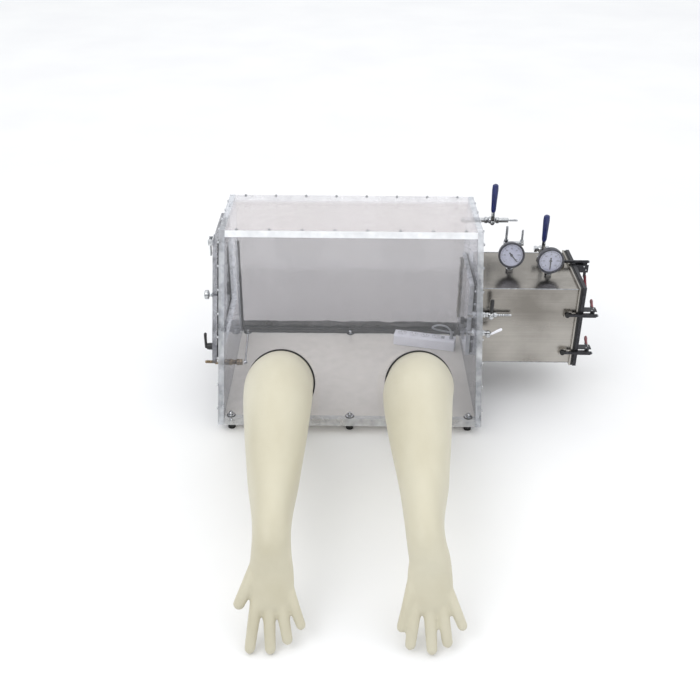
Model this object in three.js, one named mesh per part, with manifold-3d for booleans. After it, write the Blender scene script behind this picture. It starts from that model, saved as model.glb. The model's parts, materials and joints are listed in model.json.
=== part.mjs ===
// Laboratory glove box: a clear acrylic chamber with two glove ports, a gasketed side door and a
// stainless steel transfer chamber. Millimetres, +Z up, X to the operator's right, Y away from the
// operator. The chamber is laid out with X = 0 at its middle and Y = 0 at its bottom front edge, and
// the whole group is then moved so that its bounding box is centred over the origin.
import * as THREE from "three";
import { mergeVertices } from "three/addons/utils/BufferGeometryUtils.js";
import Module from "manifold-3d";

// ---- driving dimensions ----
const GAP = 0.3; // between pieces that touch
const WIDTH = 900;
const HEIGHT = 586;
const DEPTH_BOTTOM = 643;
const DEPTH_TOP = 334;
const PANEL = 20;
const FOOT_HEIGHT = 28;
const PORT_SPREAD = 234; // port centres either side of the middle
const PORT_HEIGHT = 157;
const PORT_BORE = 98; // inner radius of a port ring
const PORT_TUBE = 107;
const CUFF_RADIUS = 110.5;
const BAND_RADIUS = 116;
const DOOR_SHEET = 15; // thickness of the acrylic doors
const STEEL = 3; // transfer chamber wall
const OUTER_DOOR_SHEET = 12;
const BARREL_RADIUS = 6;
const HINGE_PIN_RADIUS = 3;

// ---- derived ----
const HALF = WIDTH / 2;
const INSIDE = HALF - PANEL;
const FLOOR_BOTTOM = FOOT_HEIGHT;
const FLOOR_TOP = FLOOR_BOTTOM + PANEL;
const ROOF_TOP = FLOOR_BOTTOM + HEIGHT;
const ROOF_BOTTOM = ROOF_TOP - PANEL;
const BACK = DEPTH_BOTTOM;
const BACK_INNER = BACK - PANEL;
const LEAN = (DEPTH_BOTTOM - DEPTH_TOP) / HEIGHT; // how far the front leans back for each mm of height
const LEAN_ANGLE = Math.atan(LEAN);
const frontOuter = (z) => (z - FLOOR_BOTTOM) * LEAN;
const frontInner = (z) => frontOuter(z) + PANEL / Math.cos(LEAN_ANGLE);

// ---- transfer chamber, outer and inner door ----
const TC = {
  x: [HALF + GAP, 782],
  y: [228, 528],
  z: [154, 443],
};
const DOORWAY = { y: [277, 502], z: [182, 417] };
const FLANGE = 8; // lip round the transfer chamber's mouth
const END_PLATE = 4;
const OUTER_SEAL_X = [TC.x[1] + GAP, TC.x[1] + 8];
const OUTER_DOOR_X = [OUTER_SEAL_X[1] + GAP, OUTER_SEAL_X[1] + GAP + OUTER_DOOR_SHEET];
const OUTER_DOOR_Y = [TC.y[0] - 9, TC.y[1] + 9];
const OUTER_DOOR_Z = [TC.z[0] - 9, TC.z[1] + 9];
const OUTER_HINGE = { x: OUTER_DOOR_X[1] - 6, y: OUTER_DOOR_Y[1] + 12, z: [230, 367] };
const INNER_SEAL_X = [INSIDE - 5.7, INSIDE - GAP];
const INNER_DOOR_X = [INNER_SEAL_X[0] - GAP - DOOR_SHEET, INNER_SEAL_X[0] - GAP];
const INNER_DOOR = { y: [252, 527], z: [165, 442] };
const INNER_HINGE = { x: 416.5, y: 539, z: [215, 392] };

// ---- left door ----
const LEFT_SEAL_X = [-HALF - 8, -HALF - GAP];
const LEFT_DOOR_X = [LEFT_SEAL_X[0] - GAP - DOOR_SHEET, LEFT_SEAL_X[0] - GAP];
const LEFT_DOOR = { front: 22, back: 560, z: [205, 575] };
const LEFT_DOORWAY = { front: 70, back: 520, z: [245, 535] };
const LEFT_HINGE = { x: -466, y: 572, z: [265, 390, 515] };

// ---- bulkhead fittings: where each goes through a wall ----
const MAIN_VALVE = { y: 598, z: 541, body: [491, 543], outlet: [541, 579], nozzle: [578, 614] };
const PURGE_VALVE = { y: 213, z: 350, body: [466, 520], barb: [519, 554] };
const NEEDLE_VALVE = { y: 190, z: 291, body: [460, 486] };
const DRAIN_VALVE = { y: 215, z: 150, body: [-406, -382], barb: [-514, -483] };
const GLAND = { y: 556, z: 88 };
const BULKHEAD_RADIUS = 9;
const BULKHEAD_BORE = 9.6;

const finishes = {
  acrylic: { color: 0xe9eef0, roughness: 0.08, metalness: 0, transparent: true, opacity: 0.3 },
  steel: { color: 0xb6afa6, roughness: 0.35, metalness: 1 },
  chrome: { color: 0xd2d4d6, roughness: 0.12, metalness: 1 },
  blackSteel: { color: 0x2b2b2e, roughness: 0.45, metalness: 0.6 },
  rubber: { color: 0x1c1d1d, roughness: 0.7, metalness: 0 },
  latex: { color: 0xdfd8c2, roughness: 0.55, metalness: 0 },
  bezel: { color: 0x3c3d45, roughness: 0.4, metalness: 0.2 },
  needle: { color: 0x18181a, roughness: 0.5, metalness: 0.1 },
  blueGrip: { color: 0x24357a, roughness: 0.4, metalness: 0 },
  redGrip: { color: 0x7d2632, roughness: 0.45, metalness: 0 },
  blackPlastic: { color: 0x202022, roughness: 0.5, metalness: 0 },
  whitePlastic: { color: 0xdcdde6, roughness: 0.4, metalness: 0 },
  cable: { color: 0xc4c5ca, roughness: 0.5, metalness: 0 },
};

const glovebox = new THREE.Group();
glovebox.name = "glove_box";

// ---- solid helpers ----
const wasm = await Module();
wasm.setup();
const v = (x, y, z) => new THREE.Vector3(x, y, z);

function solid(geometry) {
  const bare = geometry.clone();
  bare.deleteAttribute("normal");
  bare.deleteAttribute("uv");
  const merged = mergeVertices(bare, 1e-3);
  return new wasm.Manifold(
    new wasm.Mesh({
      numProp: 3,
      vertProperties: merged.attributes.position.array,
      triVerts: new Uint32Array(merged.index.array),
    }),
  );
}

const join = (...solids) => solids.reduce((sum, next) => sum.add(next));
const cut = (base, ...tools) => tools.reduce((rest, tool) => rest.subtract(tool), base);

// A box from its spans along X, Y and Z.
function box([x0, x1], [y0, y1], [z0, z1]) {
  const geometry = new THREE.BoxGeometry(x1 - x0, y1 - y0, z1 - z0);
  return solid(geometry.translate((x0 + x1) / 2, (y0 + y1) / 2, (z0 + z1) / 2));
}

// A round bar or cone between two points.
function rod(radius, from, to, sides = 12, endRadius = radius) {
  const along = to.clone().sub(from);
  const length = along.length();
  const geometry = new THREE.CylinderGeometry(endRadius, radius, length, sides).translate(0, length / 2, 0);
  const turn = new THREE.Quaternion().setFromUnitVectors(v(0, 1, 0), along.normalize());
  return solid(geometry.applyQuaternion(turn).translate(from.x, from.y, from.z));
}

const rodX = (radius, x0, x1, y, z, sides) => rod(radius, v(x0, y, z), v(x1, y, z), sides);
const rodZ = (radius, z0, z1, x, y, sides) => rod(radius, v(x, y, z0), v(x, y, z1), sides);

function ball(radius, centre, sides = 8) {
  const geometry = new THREE.SphereGeometry(radius, sides, sides / 2);
  return solid(geometry.translate(centre.x, centre.y, centre.z));
}

// A prism along X from an outline of [y, z] points.
function prismX(outline, x0, x1) {
  const shape = new THREE.Shape(outline.map(([y, z]) => new THREE.Vector2(y, z)));
  const geometry = new THREE.ExtrudeGeometry(shape, { depth: x1 - x0, bevelEnabled: false });
  const upright = new THREE.Matrix4().makeBasis(v(0, 1, 0), v(0, 0, 1), v(1, 0, 0));
  return solid(geometry.applyMatrix4(upright).translate(x0, 0, 0));
}

const rectangle = ([y0, y1], [z0, z1]) => [[y0, z0], [y1, z0], [y1, z1], [y0, z1]];

// A four-sided outline whose front edge is parallel to the leaning front, `front` mm behind its face.
const leaningOutline = ({ front, back, z: [z0, z1] }) => [
  [frontOuter(z0) + front, z0],
  [back, z0],
  [back, z1],
  [frontOuter(z1) + front, z1],
];

function part(name, made, finish) {
  const { vertProperties, triVerts } = made.getMesh();
  const geometry = new THREE.BufferGeometry();
  geometry.setAttribute("position", new THREE.BufferAttribute(vertProperties, 3));
  geometry.setIndex(new THREE.BufferAttribute(triVerts, 1));
  const mesh = new THREE.Mesh(geometry, new THREE.MeshStandardMaterial(finishes[finish]));
  mesh.name = name;
  glovebox.add(mesh);
}

// The two halves of a butt hinge on a vertical axis: barrels for the fixed and the moving leaf, and
// a pin that belongs to the moving one. `block` gives the spans of the lug that joins them to a leaf.
const HINGE_HALF = 11;
const HINGE_END = 24;
const PIN_CLEARANCE = 0.4;
function fixedBarrel({ x, y }, z, block) {
  const tube = rodZ(BARREL_RADIUS, z - HINGE_HALF, z + HINGE_HALF, x, y, 8);
  const leaf = box(block.x, block.y, [z - HINGE_HALF, z + HINGE_HALF]);
  const bore = rodZ(HINGE_PIN_RADIUS + PIN_CLEARANCE, z - HINGE_END, z + HINGE_END, x, y, 8);
  return cut(join(tube, leaf), bore);
}

function movingBarrel({ x, y }, z, block) {
  const ends = [-1, 1].map((side) => {
    const span = [z + side * (HINGE_HALF + GAP), z + side * HINGE_END].sort((a, b) => a - b);
    return join(rodZ(BARREL_RADIUS, ...span, x, y, 8), box(block.x, block.y, span));
  });
  return join(...ends, rodZ(HINGE_PIN_RADIUS, z - HINGE_END + 1, z + HINGE_END - 1, x, y, 8));
}

// ---- main chamber panels ----
const PLATE_X = [-INSIDE + GAP, INSIDE - GAP];
const portAxis = v(0, -Math.cos(LEAN_ANGLE), Math.sin(LEAN_ANGLE));
const portCentre = (side) => v(side * PORT_SPREAD, frontOuter(PORT_HEIGHT), PORT_HEIGHT);
const onPortAxis = (side, distance) => portCentre(side).addScaledVector(portAxis, distance);
const PORT_SIDES = 48;
const portCylinder = (side, radius, from, to) =>
  rod(radius, onPortAxis(side, from), onPortAxis(side, to), PORT_SIDES);

function addPanels() {
  const slab = (z0, z1) => [[frontOuter(z0), z0], [BACK, z0], [BACK, z1], [frontOuter(z1), z1]];
  const [low, high] = [FLOOR_TOP + GAP, ROOF_BOTTOM - GAP];
  part("floor_panel", prismX(slab(FLOOR_BOTTOM, FLOOR_TOP), ...PLATE_X), "acrylic");
  part("roof_panel", prismX(slab(ROOF_BOTTOM, ROOF_TOP), ...PLATE_X), "acrylic");
  part("back_panel", box(PLATE_X, [BACK_INNER, BACK], [low, high]), "acrylic");

  const section = [
    [frontOuter(low), low],
    [frontInner(low), low],
    [frontInner(high), high],
    [frontOuter(high), high],
  ];
  const bores = [-1, 1].map((side) => portCylinder(side, PORT_TUBE + 0.5, -2 * PANEL, PANEL));
  part("front_panel", cut(prismX(section, ...PLATE_X), ...bores), "acrylic");

  const outline = slab(FLOOR_BOTTOM, ROOF_TOP);
  const bulkheadBore = (x, { y, z }) => rodX(BULKHEAD_BORE, x - PANEL, x + PANEL, y, z);
  const leftWay = prismX(leaningOutline(LEFT_DOORWAY), -HALF - PANEL, -INSIDE + PANEL);
  const leftWall = cut(prismX(outline, -HALF, -INSIDE), leftWay, bulkheadBore(-HALF, DRAIN_VALVE));
  part("left_wall", leftWall, "acrylic");

  const rightWay = prismX(rectangle(DOORWAY.y, DOORWAY.z), INSIDE - PANEL, HALF + PANEL);
  const fittings = [MAIN_VALVE, PURGE_VALVE, NEEDLE_VALVE, GLAND];
  const rightBores = fittings.map((fitting) => bulkheadBore(HALF, fitting));
  part("right_wall", cut(prismX(outline, INSIDE, HALF), rightWay, ...rightBores), "acrylic");
}

// ---- levelling feet: a rubber pad on a short threaded stem with its nut ----
const FOOT_X = [["left", -407], ["middle", 0], ["right", 407]];
const FOOT_Y = [["front", 30], ["back", 613]];

function addFeet() {
  FOOT_Y.forEach(([row, y]) =>
    FOOT_X.forEach(([column, x]) => {
      const pad = rod(13, v(x, y, 0), v(x, y, 15), 12, 11.5);
      const stem = rodZ(6, 14, FOOT_HEIGHT - GAP, x, y, 8);
      const nut = rodZ(9.5, 19, FOOT_HEIGHT - GAP, x, y, 6);
      part(`foot_${row}_${column}`, join(pad, stem, nut), "rubber");
    }),
  );
}

// ---- glove ports, bands and gloves ----
const CUFF_START = 6.5; // distance from the panel's face along the port's axis
const PORT_END = 48;

// Sleeve stations as [x, y, z, radius], then the wrist point, then each finger as [across, down] at
// its root and at its tip, and its radius.
const HANDS = {
  left: {
    side: -1,
    stations: [[-223, -200, 278, 107], [-212, -450, 288, 88], [-208, -590, 262, 72.5]],
    wrist: [-197, -831, 228],
    fingers: [
      { root: [-40, 70], tip: [-77, 144], radius: 15 },
      { root: [-36, 120], tip: [-51, 253], radius: 14 },
      { root: [-2, 120], tip: [1, 254], radius: 14 },
      { root: [28, 120], tip: [44, 230], radius: 14 },
      { root: [46, 105], tip: [77, 195], radius: 12.5 },
    ],
  },
  right: {
    side: 1,
    stations: [[211, -200, 278, 108], [204, -450, 288, 88], [205, -590, 262, 71]],
    wrist: [202, -831, 228],
    fingers: [
      { root: [-32, 90], tip: [-64, 196], radius: 13 },
      { root: [-30, 120], tip: [-43, 240], radius: 14 },
      { root: [3, 120], tip: [12, 252], radius: 14 },
      { root: [34, 120], tip: [51, 234], radius: 14 },
      { root: [52, 108], tip: [89, 192], radius: 13 },
    ],
  },
};
const WRIST_RADIUS = 51;
const HAND_TILT = THREE.MathUtils.degToRad(33); // how far the hand's line is from straight down
const handDown = v(0, -Math.sin(HAND_TILT), -Math.cos(HAND_TILT));
const SLEEVE_SIDES = 16;
const SLEEVE_RINGS = 8;

// The sleeve's radius at a share of its length, straight-line between the stations.
function radiusAt(share, radii) {
  const place = share * (radii.length - 1);
  const first = Math.min(Math.floor(place), radii.length - 2);
  return THREE.MathUtils.lerp(radii[first], radii[first + 1], place - first);
}

// A closed round solid turned about Y over a length of 1, then bent along a curve.
function bentLathe(curve, radii) {
  const shares = Array.from({ length: SLEEVE_RINGS + 1 }, (_, i) => i / SLEEVE_RINGS);
  const wall = shares.map((share) => new THREE.Vector2(radiusAt(share, radii), share));
  const profile = [new THREE.Vector2(0, 0), ...wall, new THREE.Vector2(0, 1)];
  const geometry = new THREE.LatheGeometry(profile, SLEEVE_SIDES);
  const position = geometry.getAttribute("position");
  for (let i = 0; i < position.count; i++) {
    const share = THREE.MathUtils.clamp(position.getY(i), 0, 1);
    const along = curve.getTangent(share);
    const across = v(1, 0, 0).addScaledVector(along, -along.x).normalize();
    const over = across.clone().cross(along);
    const point = curve.getPoint(share);
    point.addScaledVector(across, position.getX(i)).addScaledVector(over, position.getZ(i));
    position.setXYZ(i, point.x, point.y, point.z);
  }
  return solid(geometry);
}

function sleeve(side, stations, wrist) {
  const start = onPortAxis(side, PORT_END + 8);
  const points = stations.map(([x, y, z]) => v(x, y, z));
  const curve = new THREE.CatmullRomCurve3([start, ...points, wrist]);
  const radii = [CUFF_RADIUS, ...stations.map((station) => station[3]), WRIST_RADIUS];
  const cuff = portCylinder(side, CUFF_RADIUS, CUFF_START, PORT_END + 14);
  const hollow = portCylinder(side, PORT_TUBE + 0.5, -PANEL, PORT_END + GAP);
  return cut(join(bentLathe(curve, radii), ball(WRIST_RADIUS, wrist, 10), cuff), hollow);
}

function hand(wrist, fingers) {
  const at = ([across, down]) => wrist.clone().add(v(across, 0, 0)).addScaledVector(handDown, down);
  const palm = new THREE.SphereGeometry(1, 12, 6).scale(60, 30, 74).rotateX(-HAND_TILT);
  const middle = at([0, 76]);
  const digits = fingers.flatMap(({ root, tip, radius }) => [
    rod(radius + 2, at(root), at(tip), 8, radius),
    ball(radius, at(tip)),
  ]);
  return join(solid(palm.translate(middle.x, middle.y, middle.z)), ...digits);
}

function addGloves() {
  Object.entries(HANDS).forEach(([name, { side, stations, wrist, fingers }]) => {
    const tube = portCylinder(side, PORT_TUBE, -PANEL - 2, PORT_END);
    const collar = portCylinder(side, PORT_TUBE + 7, GAP, 5);
    const bore = portCylinder(side, PORT_BORE, -2 * PANEL, 2 * PORT_END);
    part(`port_ring_${name}`, cut(join(tube, collar), bore), "whitePlastic");

    const band = portCylinder(side, BAND_RADIUS, 9, 24);
    part(`cuff_band_${name}`, cut(band, portCylinder(side, CUFF_RADIUS + GAP, 0, 40)), "rubber");
    const wristPoint = v(...wrist);
    const arm = sleeve(side, stations, wristPoint);
    part(`glove_${name}`, join(arm, hand(wristPoint, fingers)), "latex");
  });
}

// ---- transfer chamber with its seals and doors ----
const inset = ([low, high], by) => [low + by, high - by];
const around = (middle, half) => [middle - half, middle + half];
const KEEPER_X = [TC.x[1] - 45, TC.x[1] - 21];
const CLAMP_LIFT = 2.5; // clamp arm's clearance from the door's edge
const ARM_THICK = 9;

// Each clamp sits at the middle of an edge stretch; turn brings its inward direction onto the door.
const CLAMPS = {
  front_upper: { y: OUTER_DOOR_Y[0], z: 351, turn: 0 },
  front_lower: { y: OUTER_DOOR_Y[0], z: 202, turn: 0 },
  top: { y: 419, z: OUTER_DOOR_Z[1], turn: -Math.PI / 2 },
  bottom: { y: 419, z: OUTER_DOOR_Z[0], turn: Math.PI / 2 },
};

function addTransferChamber() {
  const shell = box(TC.x, TC.y, TC.z);
  const flange = box([TC.x[1] - 5, TC.x[1]], inset(TC.y, -FLANGE), inset(TC.z, -FLANGE));
  const room = box([TC.x[0] + END_PLATE, TC.x[1] + 1], inset(TC.y, STEEL), inset(TC.z, STEEL));
  const doorway = box([TC.x[0] - 1, TC.x[0] + END_PLATE + 1], DOORWAY.y, DOORWAY.z);
  const keeperFoot = OUTER_DOOR_Y[0] - CLAMP_LIFT + 0.5;
  const keepers = Object.values(CLAMPS).map(({ y, z, turn }) => {
    if (turn === 0) return box(KEEPER_X, [keeperFoot, TC.y[0] + 1], around(z, 12));
    const reach = 9 - CLAMP_LIFT + 0.5; // from the chamber's wall to just below the arm
    const span = turn < 0 ? [TC.z[1] - 1, TC.z[1] + reach + 4] : [TC.z[0] - reach - 4, TC.z[0] + 1];
    return box(KEEPER_X, around(y, 12), span);
  });
  const block = {
    x: [TC.x[1] - 5, OUTER_HINGE.x],
    y: [OUTER_HINGE.y - 6, OUTER_HINGE.y + 5],
  };
  const barrels = OUTER_HINGE.z.map((z) => fixedBarrel(OUTER_HINGE, z, block));
  const tabs = OUTER_HINGE.z.map((z) =>
    box([TC.x[1] - 5, TC.x[1]], [TC.y[1], OUTER_HINGE.y + 5], around(z, HINGE_HALF)),
  );
  const body = cut(join(shell, flange, ...keepers), room, doorway);
  part("transfer_chamber", join(body, ...tabs, ...barrels), "steel");

  const sealFrame = (x, outer, inner) => cut(prismX(outer, ...x), prismX(inner, x[0] - 1, x[1] + 1));
  const outerRing = rectangle(inset(TC.y, -7), inset(TC.z, -7));
  const outerHole = rectangle(inset(TC.y, 5), inset(TC.z, 5));
  part("outer_door_seal", sealFrame(OUTER_SEAL_X, outerRing, outerHole), "rubber");
  const innerRing = rectangle(inset(INNER_DOOR.y, 3), inset(INNER_DOOR.z, 3));
  const innerHole = rectangle(inset(DOORWAY.y, -4), inset(DOORWAY.z, -4));
  part("inner_door_seal", sealFrame(INNER_SEAL_X, innerRing, innerHole), "rubber");
  const leftRing = { front: LEFT_DOOR.front + 14, back: LEFT_DOOR.back - 12, z: inset(LEFT_DOOR.z, 12) };
  const way = LEFT_DOORWAY;
  const leftHole = { front: way.front - 9, back: way.back + 8, z: inset(way.z, -8) };
  const leftSeal = sealFrame(LEFT_SEAL_X, leaningOutline(leftRing), leaningOutline(leftHole));
  part("left_door_seal", leftSeal, "rubber");
}

// A clamp group's frame: x away from the door's face, y towards the door's middle, z along the pivots.
function clampMatrix({ y, z, turn }) {
  return new THREE.Matrix4().makeRotationX(turn).setPosition(OUTER_DOOR_X[1], y, z);
}

const HANDLE_PIVOT = { x: 38, y: 20 };
const HOOK_PIVOT = { x: 30, y: 7 };
const EAR_INNER = 10;
const EAR_OUTER = 13;
const BOSS_HALF = 9.3;
const CLAMP_PIN = 2.4;
const CLAMP_HOLE = 2.9;

function clampPivot({ x, y }, bossRadius) {
  return join(
    rodZ(bossRadius, -BOSS_HALF, BOSS_HALF, x, y, 8),
    rodZ(CLAMP_PIN, -EAR_OUTER, EAR_OUTER, x, y, 6),
  );
}

function clampEars() {
  const pair = [-1, 1].map((side) => {
    const z = [side * EAR_INNER, side * EAR_OUTER].sort((a, b) => a - b);
    return box([-1, 46], [1, 30], z);
  });
  const holes = [HANDLE_PIVOT, HOOK_PIVOT].map(({ x, y }) =>
    rodZ(CLAMP_HOLE, -2 * EAR_OUTER, 2 * EAR_OUTER, x, y, 6),
  );
  return pair.map((ear) => cut(ear, ...holes));
}

const ARM_X = [-62, 47];
const ARM_HALF = 5; // half the clamp arm's width
const TIP_X = -56;
const STUD_END = 51;
function clampHook() {
  const armY = [-CLAMP_LIFT - ARM_THICK, -CLAMP_LIFT];
  const width = [-ARM_HALF, ARM_HALF];
  const arm = box(ARM_X, armY, width);
  const bridge = box(around(HOOK_PIVOT.x, ARM_HALF), [armY[0], HOOK_PIVOT.y], width);
  const tip = rod(8, v(TIP_X, armY[0] - 1.5, 0), v(TIP_X, armY[1], 0), 10);
  const stud = rodX(3.5, ARM_X[1] - 1, STUD_END, (armY[0] + armY[1]) / 2, 0, 8);
  return join(clampPivot(HOOK_PIVOT, 5.5), bridge, arm, tip, stud);
}

const GRIP_RADIUS = 7.5;
function clampHandle() {
  const { x, y } = HANDLE_PIVOT;
  const lever = box([x - 4, x + 4], [y, y + 34], [-6, 6]);
  const gripEnd = v(x + 12, y + 84, 0);
  const grip = rod(GRIP_RADIUS - 1, v(x + 2, y + 26, 0), gripEnd, 8, GRIP_RADIUS);
  return join(clampPivot(HANDLE_PIVOT, 6), lever, grip, ball(GRIP_RADIUS, gripEnd));
}

// manifold-3d takes a 4 x 4 matrix by columns, as THREE.Matrix4 stores it.
const placed = (made, matrix) => made.transform(matrix.toArray());

function addOuterDoor() {
  const plate = box(OUTER_DOOR_X, OUTER_DOOR_Y, OUTER_DOOR_Z);
  const pressedX = [OUTER_DOOR_X[1] - 1, OUTER_DOOR_X[1] + 3];
  const pressing = box(pressedX, inset(OUTER_DOOR_Y, 60), inset(OUTER_DOOR_Z, 100));
  const block = { x: [OUTER_HINGE.x - 4, OUTER_HINGE.x + 4], y: [OUTER_DOOR_Y[1] - 4, OUTER_HINGE.y] };
  const barrels = OUTER_HINGE.z.map((z) => movingBarrel(OUTER_HINGE, z, block));
  const ears = Object.values(CLAMPS).flatMap((clamp) =>
    clampEars().map((ear) => placed(ear, clampMatrix(clamp))),
  );
  part("outer_door", join(plate, pressing, ...barrels, ...ears), "steel");
  Object.entries(CLAMPS).forEach(([name, clamp]) => {
    part(`clamp_hook_${name}`, placed(clampHook(), clampMatrix(clamp)), "blackSteel");
    part(`clamp_handle_${name}`, placed(clampHandle(), clampMatrix(clamp)), "redGrip");
  });
}

// A knob or lever stud goes through its door and ends just short of the seal.
const STUD_RADIUS = 4;
const STUD_BORE = 4.6;

const INNER_KNOB = { y: 263, z: 300 };
function addInnerDoor() {
  const plate = box(INNER_DOOR_X, INNER_DOOR.y, INNER_DOOR.z);
  const { y, z } = INNER_KNOB;
  const bore = rodX(STUD_BORE, INNER_DOOR_X[0] - 1, INNER_DOOR_X[1] + 1, y, z);
  part("inner_door", cut(plate, bore), "acrylic");

  const face = INNER_DOOR_X[0] - GAP;
  const leafZ = [185, 422];
  const movingBlock = { x: [face - 5, INNER_HINGE.x], y: [INNER_DOOR.y[1] + 2, INNER_HINGE.y + 2] };
  const movingStrip = box([face - 5, face], [INNER_DOOR.y[1] - 26, INNER_DOOR.y[1] + 4], leafZ);
  const moving = INNER_HINGE.z.map((hingeZ) => movingBarrel(INNER_HINGE, hingeZ, movingBlock));
  part("inner_door_hinge_leaf", join(movingStrip, ...moving), "steel");

  const wall = INSIDE - GAP;
  const fixedBlock = { x: [INNER_HINGE.x, wall], y: [INNER_HINGE.y - 3, INNER_HINGE.y + 14] };
  const fixedStrip = box([wall - 5, wall], [INNER_HINGE.y + 8, INNER_HINGE.y + 36], leafZ);
  const fixed = INNER_HINGE.z.map((hingeZ) => fixedBarrel(INNER_HINGE, hingeZ, fixedBlock));
  part("inner_hinge_wall_leaf", join(fixedStrip, ...fixed), "steel");

  const knob = rodX(15, face - 22, face - 6, y, z, 8);
  const neck = rodX(9, face - 8, face, y, z, 12);
  const stud = rodX(STUD_RADIUS, face - 10, INNER_DOOR_X[1] - 0.5, y, z, 12);
  part("inner_door_knob", join(knob, neck, stud), "blackPlastic");
}

// ---- left door: knob, lever latch and folding catch ----
const LEFT_KNOB = { y: 246, z: 401 };
const LEFT_LATCH = { y: 166, z: 242 };
const LEFT_CATCH = { y: 352, z: 556 };

function addLeftDoor() {
  const bores = [LEFT_KNOB, LEFT_LATCH].map(({ y, z }) =>
    rodX(STUD_BORE, LEFT_DOOR_X[0] - 1, LEFT_DOOR_X[1] + 1, y, z),
  );
  part("left_door", cut(prismX(leaningOutline(LEFT_DOOR), ...LEFT_DOOR_X), ...bores), "acrylic");

  const face = LEFT_DOOR_X[0] - GAP;
  const leafZ = [235, 545];
  const movingBlock = { x: [face - 5, LEFT_HINGE.x], y: [LEFT_DOOR.back + 2, LEFT_HINGE.y + 2] };
  const movingStrip = box([face - 5, face], [LEFT_DOOR.back - 30, LEFT_DOOR.back + 4], leafZ);
  const moving = LEFT_HINGE.z.map((z) => movingBarrel(LEFT_HINGE, z, movingBlock));
  const catchLugs = [-1, 1].map((side) =>
    box([face - 20, face], around(LEFT_CATCH.y + side * 15, 3), around(LEFT_CATCH.z, 10)),
  );
  part("left_door_hinge_leaf", join(movingStrip, ...moving), "steel");

  const wall = -HALF - GAP;
  const fixedBlock = { x: [LEFT_HINGE.x, wall], y: [LEFT_HINGE.y - 2, LEFT_HINGE.y + 18] };
  const fixedStrip = box([wall - 5, wall], [LEFT_HINGE.y + 10, LEFT_HINGE.y + 40], leafZ);
  const fixed = LEFT_HINGE.z.map((z) => fixedBarrel(LEFT_HINGE, z, fixedBlock));
  part("left_hinge_wall_leaf", join(fixedStrip, ...fixed), "steel");

  const stud = ({ y, z }) => rodX(STUD_RADIUS, face - 12, LEFT_DOOR_X[1] - 0.5, y, z, 12);
  const knobDisc = rodX(16, face - 30, face - 14, LEFT_KNOB.y, LEFT_KNOB.z, 10);
  const knobNeck = rodX(9, face - 16, face, LEFT_KNOB.y, LEFT_KNOB.z, 12);
  part("left_door_knob", join(knobDisc, knobNeck, stud(LEFT_KNOB)), "chrome");

  const { y, z } = LEFT_LATCH;
  const hub = rodX(12, face - 22, face, y, z, 12);
  const lever = box([face - 30, face - 18], [y - 7, y + 7], [z - 8, z + 54]);
  part("left_door_latch", join(hub, lever, stud(LEFT_LATCH)), "blackPlastic");

  const catchPlate = box([face - 4, face], around(LEFT_CATCH.y, 22), around(LEFT_CATCH.z, 16));
  const catchRod = (radius, half, sides) => {
    const [from, to] = around(LEFT_CATCH.y, half);
    return rod(radius, v(face - 14, from, LEFT_CATCH.z), v(face - 14, to, LEFT_CATCH.z), sides);
  };
  const pinBore = catchRod(3.2, 25, 10);
  part("left_door_catch_base", cut(join(catchPlate, ...catchLugs), pinBore), "chrome");

  const paddle = box(around(face - 14, 3), around(LEFT_CATCH.y, 11), [LEFT_CATCH.z - 54, LEFT_CATCH.z]);
  part("left_door_catch", join(catchRod(2.6, 18, 10), catchRod(5.5, 11, 12), paddle), "chrome");
}

// ---- valves: bodies held in the walls or on the transfer chamber, each with its lever ----

// A lever on a stem that points at the operator. angle is its direction in the XZ plane from +X.
function valveLever({ x, y, z }, angle, { grip, reach, radius, width }) {
  const out = v(Math.cos(angle), 0, Math.sin(angle));
  const pivot = v(x, y, z);
  const hub = rod(8, v(x, y - 5, z), v(x, y + 5, z), 12);
  const blade = rod(width, pivot, pivot.clone().addScaledVector(out, grip + 6), 8);
  const start = pivot.clone().addScaledVector(out, grip);
  const end = pivot.clone().addScaledVector(out, reach - radius);
  return join(hub, blade, rod(radius * 0.8, start, end, 12, radius), ball(radius, end));
}

const UP = Math.PI / 2;
const MAIN_LEVER = { x: 517, y: MAIN_VALVE.y - 28, z: MAIN_VALVE.z };
const CHAMBER_VALVE = { x: 686, y: 470, z: 484 };
const CHAMBER_LEVER = { x: CHAMBER_VALVE.x, y: CHAMBER_VALVE.y - 28, z: CHAMBER_VALVE.z };
const PURGE_LEVER = { x: 481, y: PURGE_VALVE.y - 20, z: PURGE_VALVE.z };
const NEEDLE_LEVER = { x: 472, y: NEEDLE_VALVE.y - 18, z: NEEDLE_VALVE.z };
const NEEDLE_ANGLE = THREE.MathUtils.degToRad(27);

// A threaded body through a wall with a nut on the chamber's side and a flange outside.
function bulkhead(sign, { y, z }, reach) {
  return join(
    rodX(BULKHEAD_RADIUS, sign * (INSIDE - 26), sign * reach, y, z),
    rodX(12, sign * (INSIDE - 12), sign * (INSIDE - GAP), y, z, 6),
    rodX(12.5, sign * (HALF + GAP), sign * (HALF + 12), y, z, 12),
  );
}

// The stem from a valve body out to just behind its lever's hub.
const leverStem = ({ x, y, z }, bodyY) => rod(4, v(x, y + 5 + GAP, z), v(x, bodyY, z), 12);

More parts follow.
